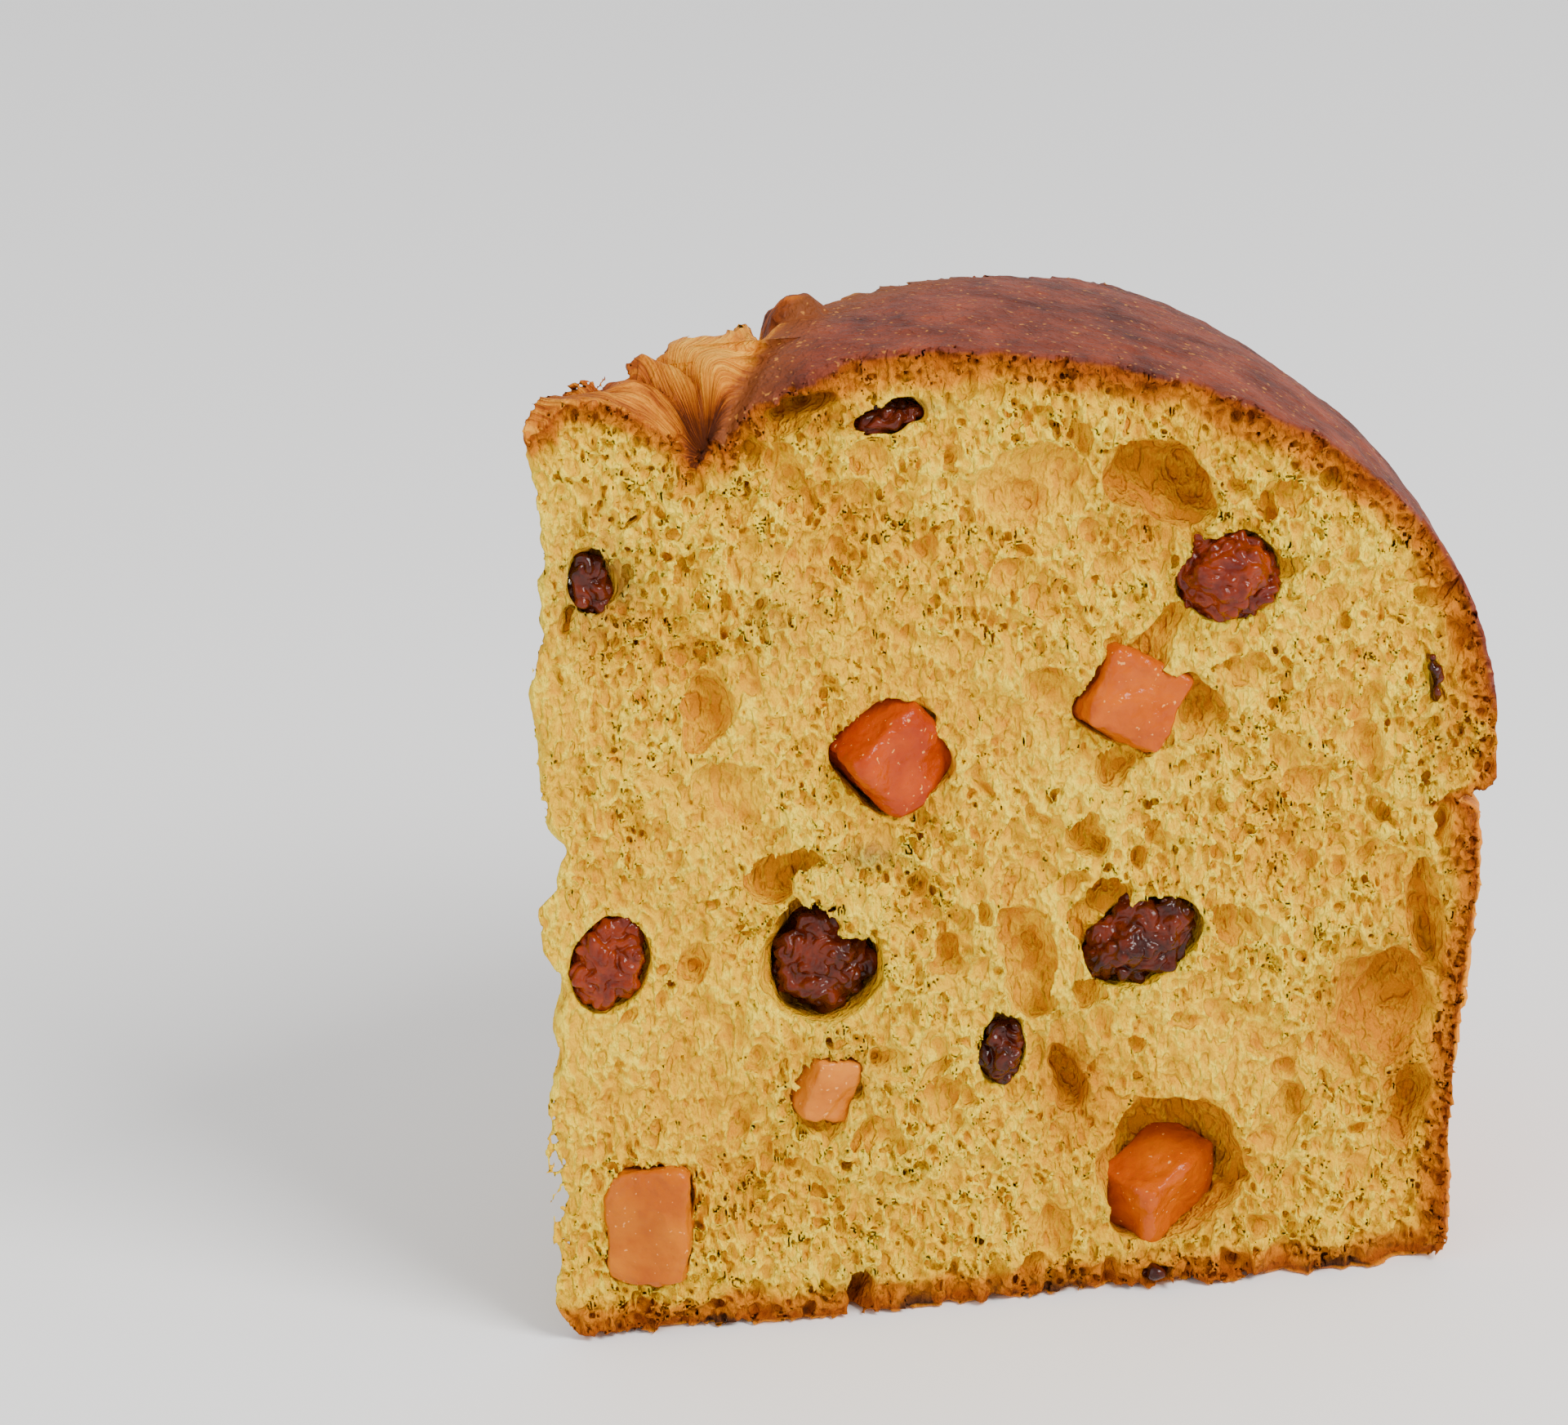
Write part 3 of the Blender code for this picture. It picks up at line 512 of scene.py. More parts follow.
def bread_field(grid, seam_way):
    """How far each place of a grid lies outside the bread, negative inside it; it sinks past the seam."""
    x, y, z = grid[0][:, None, None], grid[1][None, :, None], grid[2][None, None, :]
    side = np.clip((MOULD_HEIGHT + WALL_FADE - z) / WALL_FADE, 0.0, 1.0)
    skin = waves(grid, *SKIN) + side * (ridges(grid, WALL_WRINKLES) + waves(grid, WALL_GRAINS))
    crust_depth = -shell_distance(x, y, z, lowered(x, y)).astype(np.float32)

    grains = ridges(grid, CRUMB_GRAINS)
    walls = np.minimum(*(ridges(grid, row) for row in CELL_WALLS))
    ragged = ridges(grid, *RAGGED)
    cells = CELL_DEPTH * np.minimum(walls, CELL_CAP) + CELL_GRAIN * grains + ragged - CELL_RAISED
    strands = ridges(grid, STRANDS) + STRAND_GRAIN * grains + STRAND_RAGGED * ragged - STRAND_RAISED
    away = [(v - at) / half for v, at, half in zip((x, z), PULLED_AT, PULLED_HALVES)]
    relief = cells + (strands - cells) * (np.exp(-(away[0] ** 2) - away[1] ** 2) * PULLED_SHARE)
    relief *= np.clip(RELIEF_MEAN + waves(grid, UNEVEN), RELIEF_LEAST, RELIEF_MOST)
    lumps = np.minimum(ridges(grid, LUMPS), LUMP_CAP)
    granular = np.clip(1.0 - (crust_depth - GRANULAR_DEPTH) / GRANULAR_FADE, 0.0, 1.0)
    crumbs = GRANULAR_GRAIN * grains + GRANULAR_LUMP * lumps - GRANULAR_RAISED
    relief = relief * (1.0 - CRUMB_LOST_IN_IT * granular) + crumbs * granular
    relief *= calmer_at_tip(x, *RELIEF_AT_TIP)
    torn = waves(grid, *TORN_FRONT) * calmer_at_tip(x, *TEAR_AT_TIP)
    torn_back = waves(grid, TORN_BACK)
    tip_edge = np.interp(grid[2], *np.array(TIP_EDGE).T)[None, None, :] + waves(grid, TIP_NOTCHES)

    bread = np.maximum(skin - crust_depth, ridges(grid, UNDERSIDE) - z)
    bread = np.maximum(bread, torn + CUT_INSET - y + relief)
    bread = np.maximum(bread, behind_back_cut(x, y) + torn_back + CUT_INSET + relief)
    bread = np.maximum(bread, -tip_edge - x + TIP_RAGGEDNESS * relief)
    knob = outside_lump((x, y, z), KNOB_AT, KNOB_HALF_SIZES)
    bread = np.minimum(bread, knob + KNOB_ROUGHNESS * skin).astype(np.float32)

    warp = [
        waves(grid, *((height, seed + axis, spacing, spacing, spacing) for height, seed, spacing in WARP))
        for axis in range(3)
    ]
    for row in bubbles:
        carve(bread, grid, warp, *row)
    for cut, hollows in ((front_cut, FRONT_HOLLOWS), (back_cut, BACK_HOLLOWS)):
        for u, w, h, a, b, c, tilt in hollows:
            carve(bread, grid, warp, cut, (u, w, h), (a, b, c), (0, tilt, 0))
    less_bent = [BED_WARP * part for part in warp]
    for cut, rows, boxiness in (
        (front_cut, FRONT_RAISINS, RAISIN_BOXINESS), (back_cut, BACK_RAISINS, RAISIN_BOXINESS),
        (front_cut, FRONT_PEELS, PEEL_BOXINESS), (back_cut, BACK_PEELS, PEEL_BOXINESS),
    ):
        for name, *numbers in rows:
            halves = [half + BED_GAP for half in numbers[3:6]]
            shown = name not in HALF_BURIED
            carve(bread, grid, less_bent, cut, numbers[:3], halves, numbers[6:], boxiness, shown)
    for *middle, half_x, half_y, half_z in OVERHANGS:
        flap = outside_lump((x, y, z), middle, (half_x, half_y, half_z))
        bread = np.minimum(bread, flap + OVERHANG_RAGGEDNESS * relief).astype(np.float32)
    past_seam = np.clip(0.5 + seam_way * (y - SEAM_AT) / (2.0 * SEAM_OVERLAP), 0.0, 1.0)
    return bread + SEAM_SINK * np.maximum(past_seam - SEAM_SINK_FROM, 0.0).astype(np.float32)


def surface_net(field, grid):
    """Points and quads of the surface between a field's negative and positive places."""
    inside = field < 0.0
    shape = tuple(n - 1 for n in field.shape)
    corners = [(i, j, k) for i in (0, 1) for j in (0, 1) for k in (0, 1)]
    count = np.zeros(shape, np.int8)
    for i, j, k in corners:
        count += inside[i:shape[0] + i, j:shape[1] + j, k:shape[2] + k]
    cells = np.flatnonzero((count > 0) & (count < 8))
    index = np.full(count.shape, -1, np.int32)
    index.reshape(-1)[cells] = np.arange(len(cells))
    place = np.stack(np.unravel_index(cells, count.shape), 1)
    values = [field[place[:, 0] + i, place[:, 1] + j, place[:, 2] + k] for i, j, k in corners]
    total, crossings = np.zeros((len(cells), 3)), np.zeros(len(cells))
    for a, first in enumerate(corners):
        for b in range(a + 1, 8):
            step = np.array(corners[b]) - first
            if np.abs(step).sum() != 1:
                continue
            crossed = (values[a] < 0) != (values[b] < 0)
            share = values[a][crossed] / (values[a][crossed] - values[b][crossed])
            total[crossed] += np.array(first) + share[:, None] * step
            crossings[crossed] += 1
    points = place + total / crossings[:, None]
    quads = []
    for axis in range(3):
        u, v = (axis + 1) % 3, (axis + 2) % 3
        ahead = np.moveaxis(inside, axis, 0)
        changes = np.moveaxis(ahead[1:] != ahead[:-1], 0, axis)
        at = np.stack(np.nonzero(changes), 1)
        at = at[(at[:, u] > 0) & (at[:, v] > 0) & (at[:, u] < shape[u]) & (at[:, v] < shape[v])]
        solid = inside[tuple(at.T)]
        back_u, back_v = np.eye(3, dtype=int)[u], np.eye(3, dtype=int)[v]
        ring = [index[tuple((at - s).T)] for s in (0 * back_u, back_u, back_u + back_v, back_v)]
        quad = np.stack(ring, 1)
        quad[~solid] = quad[~solid][:, ::-1]
        quads.append(quad)
    step = grid[0][1] - grid[0][0]
    return points * step + np.array([places[0] for places in grid]), np.concatenate(quads)


def largest_body(points, quads):
    """Only the points and quads that hang together with the most others: no loose crumbs."""
    label = np.arange(len(points))
    a, b = quads.reshape(-1), np.roll(quads, 1, axis=1).reshape(-1)
    while True:
        lowest = np.minimum(label[a], label[b])
        joined = label.copy()
        np.minimum.at(joined, a, lowest)
        np.minimum.at(joined, b, lowest)
        joined = joined[joined]
        if (joined == label).all():
            break
        label = joined
    kept = label == np.bincount(label).argmax()
    number = np.cumsum(kept) - 1
    return points[kept], number[quads[kept[quads[:, 0]]]]


# Browner or paler places of the shown cut: place, height, half widths, how much browner. Most browner ones
# lie on the large hollows and are painted shade in them
TINTS_AND_SHADE = (
    (71.4, 100.0, 8.5, 6.5, 0.75), (56.0, 101.9, 9.0, 6.0, -0.35), (97.0, 34.4, 7.5, 9.5, 0.75),
    (100.2, 20.6, 3.6, 6.5, 1.15), (106.0, 72.0, 3.2, 13.0, 0.85), (106.5, 86.0, 2.6, 6.0, 1.5),
    (59.6, 27.4, 4.5, 7.5, 0.8), (21.3, 67.6, 6.0, 5.5, -0.25), (44.0, 64.5, 4.5, 4.0, 0.5),
    (33.0, 32.0, 6.0, 6.0, 0.55), (32.0, 112.6, 6.0, 2.6, 1.1), (17.6, 106.5, 3.0, 3.0, 1.1),
    (24.0, 110.5, 4.0, 4.0, 0.8), (76.5, 72.5, 3.6, 5.5, 0.35), (103.0, 45.0, 4.0, 12.0, 0.55),
    (72.0, 9.0, 8.0, 6.0, 0.45), (8.0, 92.5, 5.0, 6.5, 0.5), (46.6, 107.6, 7.0, 4.0, 0.2),
)
# Dark grey spots painted round the fruit and in a hollow at the base, as painted shade: the same, and how
# dark
SHADE_SPOTS = (
    (45.0, 112.2, 3.4, 1.2, 0.8), (6.8, 94.6, 4.2, 6.2, 0.8), (37.2, 58.4, 4.0, 1.6, 0.6),
    (27.0, 88.0, 4.5, 4.0, 0.3), (69.0, 2.6, 4.0, 2.0, 0.8), (34.1, 3.4, 2.6, 3.0, 0.9),
)

# Where the crust has come off at the rim and pale crumb reaches the edge: how far, height, half height
LIP_PALE = 4.5
LIP_AT = 66.5
LIP_HALF = 3.6
LIP_DEPTH = 4.0
LIP_FROM = 100.0
# The baked colour reaches less far in on the torn folds and behind the mould's paper
FOLD_BAKE_SHARE = 1.35
WALL_BAKE_SHARE = 1.2
# The spots above are on the shown cut only, and fade this far behind it
SPOTS_FROM = 2.0
SPOTS_FADE = 6.0
# Tones of the torn skin: its middle, by direction from the pit in degrees, and of single places; its valleys
# between the folds and its pit are darkened as painted shade
FOLD_TONE = 0.55
FOLD_TONE_AT = (60, 95, 115, 140, 160)
FOLD_TONE_ADDED = (0.2, 0.15, 0.0, 0.0, -0.1)
FIBRE_TONE = 0.1
VALLEY_SHADE = 0.6
VALLEY_SHADE_FADE = 10.0
INNER_LOBE = (15.8, 1.6, 2.4, 1.7)
INNER_LOBE_TONE = 0.3
PIT_SHADE = 0.5
PIT_SHADE_WIDTH = 2.6
KNOB_TONE = 0.12
KNOB_REACH = 0.162
TIP_SKIN = 0.8
# How deep below the cut the painted shade in the crumb's colour is deepest, and how much a hollow bend of
# the surface adds to it
DEEPEST = 3.5
BEND_COUNTS = 2.6
BEND_ROUNDS = 3


def spotted(rows, px, pz):
    """The sum of soft spots over the shown cut."""
    return sum(amount * np.exp(-(((px - u) / a) ** 2) - ((pz - h) / c) ** 2) for u, h, a, c, amount in rows)


def bread_object(name, step, low, high, seam_way):
    """The bread between two corners, open where it goes on, with what its material reads at each point."""
    grid = grid_axes(step, low, high)
    points, quads = largest_body(*surface_net(bread_field(grid, seam_way), grid))
    mesh = bpy.data.meshes.new(name)
    mesh.vertices.add(len(points))
    mesh.vertices.foreach_set("co", (points / 1000 + np.array(tip_foot)).astype(np.float32).reshape(-1))
    mesh.loops.add(quads.size)
    mesh.loops.foreach_set("vertex_index", quads.astype(np.int32).reshape(-1))
    mesh.polygons.add(len(quads))
    mesh.polygons.foreach_set("loop_start", np.arange(0, quads.size, 4, dtype=np.int32))
    mesh.update(calc_edges=True)
    mesh.shade_smooth()

    px, py, pz = points.T
    edge_distance = to_petal_edge(px, py)
    tip_out = px + np.interp(pz, *np.array(TIP_EDGE).T) + TIP_SKIN
    # How far behind the cut a point lies, which paints shade into the crumb's colour
    shade_depth = np.minimum(np.minimum(py, -behind_back_cut(px, py)), tip_out) - CUT_INSET
    crust = -shell_distance(px, py, pz)
    crust = np.where(edge_distance < 0.0, FOLD_BAKE_SHARE * crust, crust)
    crust = np.where(pz < MOULD_HEIGHT, WALL_BAKE_SHARE * crust, crust)
    lip = np.exp(-(((pz - LIP_AT) / LIP_HALF) ** 2) - (py / LIP_DEPTH) ** 2) * (px > LIP_FROM)
    crust = crust + LIP_PALE * lip
    ends = np.concatenate([quads[:, [k, (k + 1) % 4]] for k in range(4)])
    met = np.maximum(np.bincount(ends[:, 0], minlength=len(points)), 1)
    around = np.stack([np.bincount(ends[:, 0], points[ends[:, 1], k], len(points)) for k in range(3)], 1)
    normals = np.zeros(len(points) * 3, np.float32)
    mesh.vertex_normals.foreach_get("vector", normals)
    bend = ((around / met[:, None] - points) * normals.reshape(-1, 3)).sum(1) / step
    for _ in range(BEND_ROUNDS):
        bend = 0.5 * bend + 0.5 * np.bincount(ends[:, 0], bend[ends[:, 1]], len(points)) / met
    shown = np.exp(-np.maximum(0.0, py - SPOTS_FROM) / SPOTS_FADE)
    in_knob = outside_lump((px, py, pz), KNOB_AT, KNOB_HALF_SIZES) < KNOB_REACH * min(KNOB_HALF_SIZES)
    fold_tone = np.interp(np.degrees(around_pit(px, py)[0]), FOLD_TONE_AT, FOLD_TONE_ADDED)
    raised, strand_across, from_pit = fibres(px, py)
    # Painted shade: the torn skin darkens in the valleys between the folds and in the pit
    valley_shade = (1.0 - fold_height(px, py) / FOLD_HEIGHT) ** 3 * np.exp(-from_pit / VALLEY_SHADE_FADE)
    lobe_x, lobe_y, half_x, half_y = INNER_LOBE
    inner_lobe = np.exp(-(((px - lobe_x) / half_x) ** 2) - ((py - lobe_y) / half_y) ** 2)
    torn_tones_and_shade = FOLD_TONE + FIBRE_TONE * raised + fold_tone - VALLEY_SHADE * valley_shade
    torn_tones_and_shade = torn_tones_and_shade + INNER_LOBE_TONE * inner_lobe - PIT_SHADE * np.exp(-((from_pit / PIT_SHADE_WIDTH) ** 2))
    torn_tones_and_shade = np.where(in_knob, KNOB_TONE, torn_tones_and_shade)
    for label, values in (
        ("recess_shade", np.clip(shade_depth / DEEPEST, -0.2, 1.0)),
        ("hollow", np.clip(0.5 + bend * BEND_COUNTS, 0.0, 1.0)),
        ("bake", np.clip(np.minimum(crust, pz), -1.0, 12.0)),
        ("petal", np.clip(edge_distance, -8.0, 8.0)),
        ("torn_tone_and_shade", np.clip(torn_tones_and_shade, 0.0, 1.0)),
        ("strand_across", strand_across),
        ("from_pit", from_pit),
        ("tint_and_shade", spotted(TINTS_AND_SHADE, px, pz) * shown),
        ("painted_shade", spotted(SHADE_SPOTS, px, pz) * shown),
    ):
        mesh.attributes.new(label, "FLOAT", "POINT").data.foreach_set("value", values.astype(np.float32))
    made = bpy.data.objects.new(name, mesh)
    bpy.context.scene.collection.objects.link(made)
    return made


def pick(piece):
    bpy.ops.object.select_all(action="DESELECT")
    piece.select_set(True)
    bpy.context.view_layer.objects.active = piece


def cut_off(piece, place, normal):
    """Takes away what lies beyond a plane, and closes the piece there with a flat, sharp-edged face."""
    pick(piece)
    bpy.ops.object.mode_set(mode="EDIT")
    bpy.ops.mesh.select_all(action="SELECT")
    bpy.ops.mesh.bisect(plane_co=place, plane_no=normal, use_fill=True, clear_outer=True)
    bpy.ops.mesh.mark_sharp()
    bpy.ops.object.mode_set(mode="OBJECT")


MOST_QUADS = 92000


def in_bands(whole, name):
    """The same surface as closed pieces that lie side by side along the cut."""
    middles = np.zeros(len(whole.data.polygons) * 3, np.float32)
    whole.data.polygons.foreach_get("center", middles)
    count = math.ceil(len(whole.data.polygons) / MOST_QUADS)
    borders = np.quantile(middles[::3], np.arange(1, count) / count)
    pieces = []
    for number, border in enumerate(borders):
        piece = bpy.data.objects.new(f"{name}_{number + 1}", whole.data.copy())
        bpy.context.scene.collection.objects.link(piece)
        cut_off(piece, (border, 0.0, 0.0), (1.0, 0.0, 0.0))
        cut_off(whole, (border, 0.0, 0.0), (-1.0, 0.0, 0.0))
        pieces.append(piece)
    whole.name = f"{name}_{count}"
    return [*pieces, whole]


bubbles = small_bubbles()
front_end, back_start = SEAM_AT + SEAM_OVERLAP, SEAM_AT - SEAM_OVERLAP
front_high = (SOLID_HIGH[0], front_end + 2.0 * FRONT_STEP, SOLID_HIGH[2])
back_low = (SOLID_LOW[0], back_start - 2.0 * BACK_STEP, SOLID_LOW[2])
front = bread_object("bread_front", FRONT_STEP, SOLID_LOW, front_high, 1)
cut_off(front, (0.0, tip_foot.y + front_end / 1000, 0.0), (0.0, 1.0, 0.0))
back = bread_object("bread_back", BACK_STEP, back_low, SOLID_HIGH, -1)
cut_off(back, (0.0, tip_foot.y + back_start / 1000, 0.0), (0.0, -1.0, 0.0))


def node(tree, kind, **settings):
    """A shader node with its settings, and with values or links on its numbered or named inputs."""
    made = tree.nodes.new(kind)
    inputs = settings.pop("inputs", {})
    for name, value in settings.items():
        setattr(made, name, value)
    for name, value in inputs.items():
        if isinstance(value, bpy.types.NodeSocket):
            tree.links.new(value, made.inputs[name])
        else:
            made.inputs[name].default_value = value
    return made


def ramp(tree, factor, *stops):
    """Colours blended along a factor: each stop is a place and a colour."""
    made = node(tree, "ShaderNodeValToRGB", inputs={0: factor})
    while len(made.color_ramp.elements) < len(stops):
        made.color_ramp.elements.new(0.5)
    for element, (place, colour) in zip(made.color_ramp.elements, stops):
        element.position = place
        element.color = (*colour, 1.0)
    return made.outputs[0]


def between(tree, factor, low, high, to_low=0.0, to_high=1.0):
    values = {0: factor, 1: low, 2: high, 3: to_low, 4: to_high}
    return node(tree, "ShaderNodeMapRange", inputs=values).outputs[0]


def maths(tree, operation, *values):
    made = node(tree, "ShaderNodeMath", operation=operation, inputs=dict(enumerate(values)))
    return made.outputs[0]


def blended(tree, factor, a, b, how="MIX"):
    made = node(tree, "ShaderNodeMix", data_type="RGBA", blend_type=how)
    for socket, value in zip((made.inputs[0], made.inputs[6], made.inputs[7]), (factor, a, b)):
        if isinstance(value, bpy.types.NodeSocket):
            tree.links.new(value, socket)
        else:
            socket.default_value = value if isinstance(value, float) else (*value, 1.0)
    return made.outputs[2]


def speckle(tree, where, scale, detail=2.0, rough=0.5):
    return node(tree, "ShaderNodeTexNoise", inputs={
        "Vector": where, "Scale": scale, "Detail": detail, "Roughness": rough}).outputs[0]


def attribute(tree, name):
    return node(tree, "ShaderNodeAttribute", attribute_name=name).outputs["Fac"]


def bump(tree, height, distance, strength):
    return node(tree, "ShaderNodeBump", inputs={
        "Height": height, "Distance": distance, "Strength": strength}).outputs[0]


# Colours of the crumb from its torn ridges down into its bubbles, pale on the ridges and deeper gold in the
# recesses as painted shade, and of the baked outside
RIDGE = (1.0, 0.71, 0.03)
LIGHT_GOLD = (0.93, 0.535, 0.0)
GOLD = (0.84, 0.415, 0.0)
DEEP_GOLD = (0.66, 0.25, 0.0)
TINT_AND_SHADE_BROWN = (0.44, 0.10, 0.0)
SHADE_GREY = (0.10, 0.085, 0.06)
PETAL_DARK = (0.065, 0.011, 0.006)
PETAL_BROWN = (0.235, 0.044, 0.018)
PETAL_EDGE_BROWN = (0.20, 0.055, 0.006)
SPECK_OCHRE = (0.50, 0.19, 0.03)
TORN_DARK = (0.085, 0.013, 0.001)
TORN_BROWN = (0.33, 0.065, 0.001)
TORN_ORANGE = (0.62, 0.19, 0.001)
TORN_TAN = (0.88, 0.42, 0.03)
SIDE_BROWN = (0.58, 0.145, 0.001)
SIDE_GOLD = (0.88, 0.33, 0.003)
BAND_BROWN = (0.34, 0.072, 0.0)
BAND_TAN = (0.66, 0.215, 0.0)
CAVITY_SHADE_BROWN = (0.20, 0.030, 0.0)
BURNT = (0.030, 0.010, 0.005)

bread_look = bpy.data.materials.new("bread")
bread_look.use_nodes = True
tree = bread_look.node_tree
shader = tree.nodes["Principled BSDF"]
where = node(tree, "ShaderNodeTexCoord").outputs["Object"]
strand_along = maths(tree, "MULTIPLY", attribute(tree, "from_pit"), 0.14)
strand_place = node(tree, "ShaderNodeCombineXYZ", inputs={
    0: attribute(tree, "strand_across"), 1: strand_along}).outputs[0]
upright = node(tree, "ShaderNodeVectorMath", operation="MULTIPLY", inputs={
    0: where, 1: (1.0, 1.0, 0.5)}).outputs[0]
recess_shade, hollow, bake, petal, torn_tone_and_shade, tint_and_shade, painted_shade = (
    attribute(tree, name) for name in ("recess_shade", "hollow", "bake", "petal", "torn_tone_and_shade", "tint_and_shade", "painted_shade"))
height = node(tree, "ShaderNodeSeparateXYZ", inputs={0: where}).outputs[2]
fine = speckle(tree, upright, 1250.0, 4.0, 0.7)
coarse = speckle(tree, where, 150.0, 3.0, 0.6)
broad = speckle(tree, where, 45.0, 2.0)
# Painted shade: the crumb turns from its pale ridge colour to deep gold with the depth behind the cut and in
# hollow bends
shade_depth = maths(tree, "ADD", maths(tree, "MULTIPLY", recess_shade, 0.62), maths(tree, "MULTIPLY", hollow, 0.5))
veins = maths(tree, "ABSOLUTE", maths(tree, "SUBTRACT", speckle(tree, upright, 620.0, 2.0, 0.5), 0.5))
veins = between(tree, veins, 0.0, 0.11, 1.0, 0.0)
shade_depth = maths(tree, "ADD", shade_depth, between(tree, fine, 0.3, 0.7, -0.12, 0.3))
shade_depth = maths(tree, "ADD", shade_depth, between(tree, veins, 0.0, 1.0, 0.16, -0.24))
crumb = ramp(tree, shade_depth, (0.10, RIDGE), (0.32, LIGHT_GOLD), (0.62, GOLD), (1.0, DEEP_GOLD))
# Browner on the large hollows as painted shade, with broad random tone added
browned_and_shaded = maths(tree, "ADD", tint_and_shade, between(tree, broad, 0.35, 0.75, -0.12, 0.22))
crumb = blended(tree, between(tree, browned_and_shaded, 0.0, 1.25), crumb, TINT_AND_SHADE_BROWN)
crumb = blended(tree, between(tree, browned_and_shaded, -0.4, 0.0, 0.35, 0.0), crumb, LIGHT_GOLD)
# Painted shade: dark grey patches round the fruit's beds and in a hollow at the base
shade_patches = maths(tree, "MULTIPLY", painted_shade, between(tree, coarse, 0.3, 0.6))
crumb = blended(tree, shade_patches, crumb, SHADE_GREY)
ragged_bake = maths(tree, "ADD", bake, between(tree, coarse, 0.25, 0.75, -1.3, 1.3))
band = between(tree, ragged_bake, 0.0, 6.0)
band = ramp(tree, band, (0.15, BAND_BROWN), (0.55, BAND_TAN), (1.0, LIGHT_GOLD))
# Painted shade: the band under the crust goes browner in hollow bends
band = blended(tree, between(tree, hollow, 0.45, 0.85, 0.0, 0.75), band, CAVITY_SHADE_BROWN)
inner = blended(tree, between(tree, ragged_bake, 3.6, 6.6), band, crumb)
at_base = between(tree, height, 0.0005, 0.004, 1.0, 0.0)
burnt = maths(tree, "MULTIPLY", at_base, between(tree, coarse, 0.5, 0.56))
inner = blended(tree, burnt, inner, BURNT)
flecks = between(tree, speckle(tree, where, 1300.0, 1.0), 0.66, 0.74, 0.0, 0.8)
mottled = blended(tree, between(tree, coarse, 0.3, 0.7), PETAL_DARK, PETAL_BROWN)
mottled = blended(tree, between(tree, petal, 0.0, 7.5, 0.7, 0.0), mottled, PETAL_EDGE_BROWN)
petal_skin = blended(tree, flecks, mottled, SPECK_OCHRE)
strand = speckle(tree, strand_place, 1.5, 3.0, 0.6)
torn_tone_and_shade = maths(tree, "ADD", torn_tone_and_shade, between(tree, strand, 0.3, 0.7, -0.28, 0.28))
torn_skin = ramp(tree, torn_tone_and_shade, (0.0, TORN_DARK), (0.3, TORN_BROWN), (0.6, TORN_ORANGE), (1.0, TORN_TAN))
top_skin = blended(tree, between(tree, petal, -1.0, 0.6), torn_skin, petal_skin)
side_skin = blended(tree, between(tree, speckle(tree, upright, 320.0, 3.0), 0.3, 0.7), SIDE_BROWN, SIDE_GOLD)
skin_colour = blended(tree, between(tree, height, 0.058, 0.064), side_skin, top_skin)
colour = blended(tree, between(tree, bake, 0.3, 0.7), skin_colour, inner)
tree.links.new(colour, shader.inputs["Base Color"])
inside = between(tree, bake, 0.3, 0.8)
rough = between(tree, inside, 0.0, 1.0, 0.52, 0.8)
tree.links.new(rough, shader.inputs["Roughness"])
crumb_bump = maths(tree, "ADD", fine, maths(tree, "MULTIPLY", veins, 0.55))
crumb_bump = maths(tree, "MULTIPLY", crumb_bump, between(tree, inside, 0.0, 1.0, 0.3, 1.0))
torn_bump = maths(tree, "MULTIPLY", strand, between(tree, petal, -1.0, 0.0, 0.8, 0.0))
torn_bump = maths(tree, "MULTIPLY", torn_bump, between(tree, inside, 0.0, 1.0, 1.0, 0.0))
crumb_bump = maths(tree, "ADD", crumb_bump, torn_bump)
tree.links.new(bump(tree, crumb_bump, 0.0009, 1.0), shader.inputs["Normal"])
shader.inputs["Specular IOR Level"].default_value = 0.15

for piece in (*in_bands(front, "bread_front"), *in_bands(back, "bread_back")):
    piece.data.materials.append(bread_look)
    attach(piece, "root")
    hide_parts("bread")


# The raisins. Dried grapes baked into the dough: soft, shrunk in deep folds, with a glossy skin from
# red-brown to nearly black. Each grows out of the plain lump that the solids have in its bed.

def merged_copy(name, cad_name):
    """A copy of a CAD node's mesh as a piece of its own, with its loose triangles joined."""
    made = bpy.data.objects.new(name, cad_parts[cad_name].data.copy())
    bpy.context.scene.collection.objects.link(made)
    made.data.materials.clear()
    pick(made)
    bpy.ops.object.mode_set(mode="EDIT")
    bpy.ops.mesh.select_all(action="SELECT")
    bpy.ops.mesh.remove_doubles(threshold=1e-6)
    bpy.ops.object.mode_set(mode="OBJECT")
    return made


def finished(piece, kind, **settings):
    """One modifier, set and applied."""
    pick(piece)
    modifier = piece.modifiers.new(kind.lower(), kind)
    for name, value in settings.items():
        setattr(modifier, name, value)
    bpy.ops.object.modifier_apply(modifier=modifier.name)


def creases(name, size, folded):
    """A pattern for pushing a skin in and out, in rounded lobes between creases or in soft waves."""
    made = bpy.data.textures.new(name, "CLOUDS")
    made.noise_scale = size
    made.noise_depth = 0
    made.noise_type = "HARD_NOISE" if folded else "SOFT_NOISE"
    return made


deep_creases = creases("raisin_folds", 0.0046, True)
small_creases = creases("raisin_wrinkles", 0.0015, True)
DEEP_CREASE = 0.0020
SMALL_CREASE = 0.0008
RED_RAISINS = ("raisin_by_the_dome", "raisin_at_the_tip", "raisin_back_high", "raisin_back_low")
# A lump with more faces than this is fine enough with one level fewer
COARSE_LUMP_FACES = 100


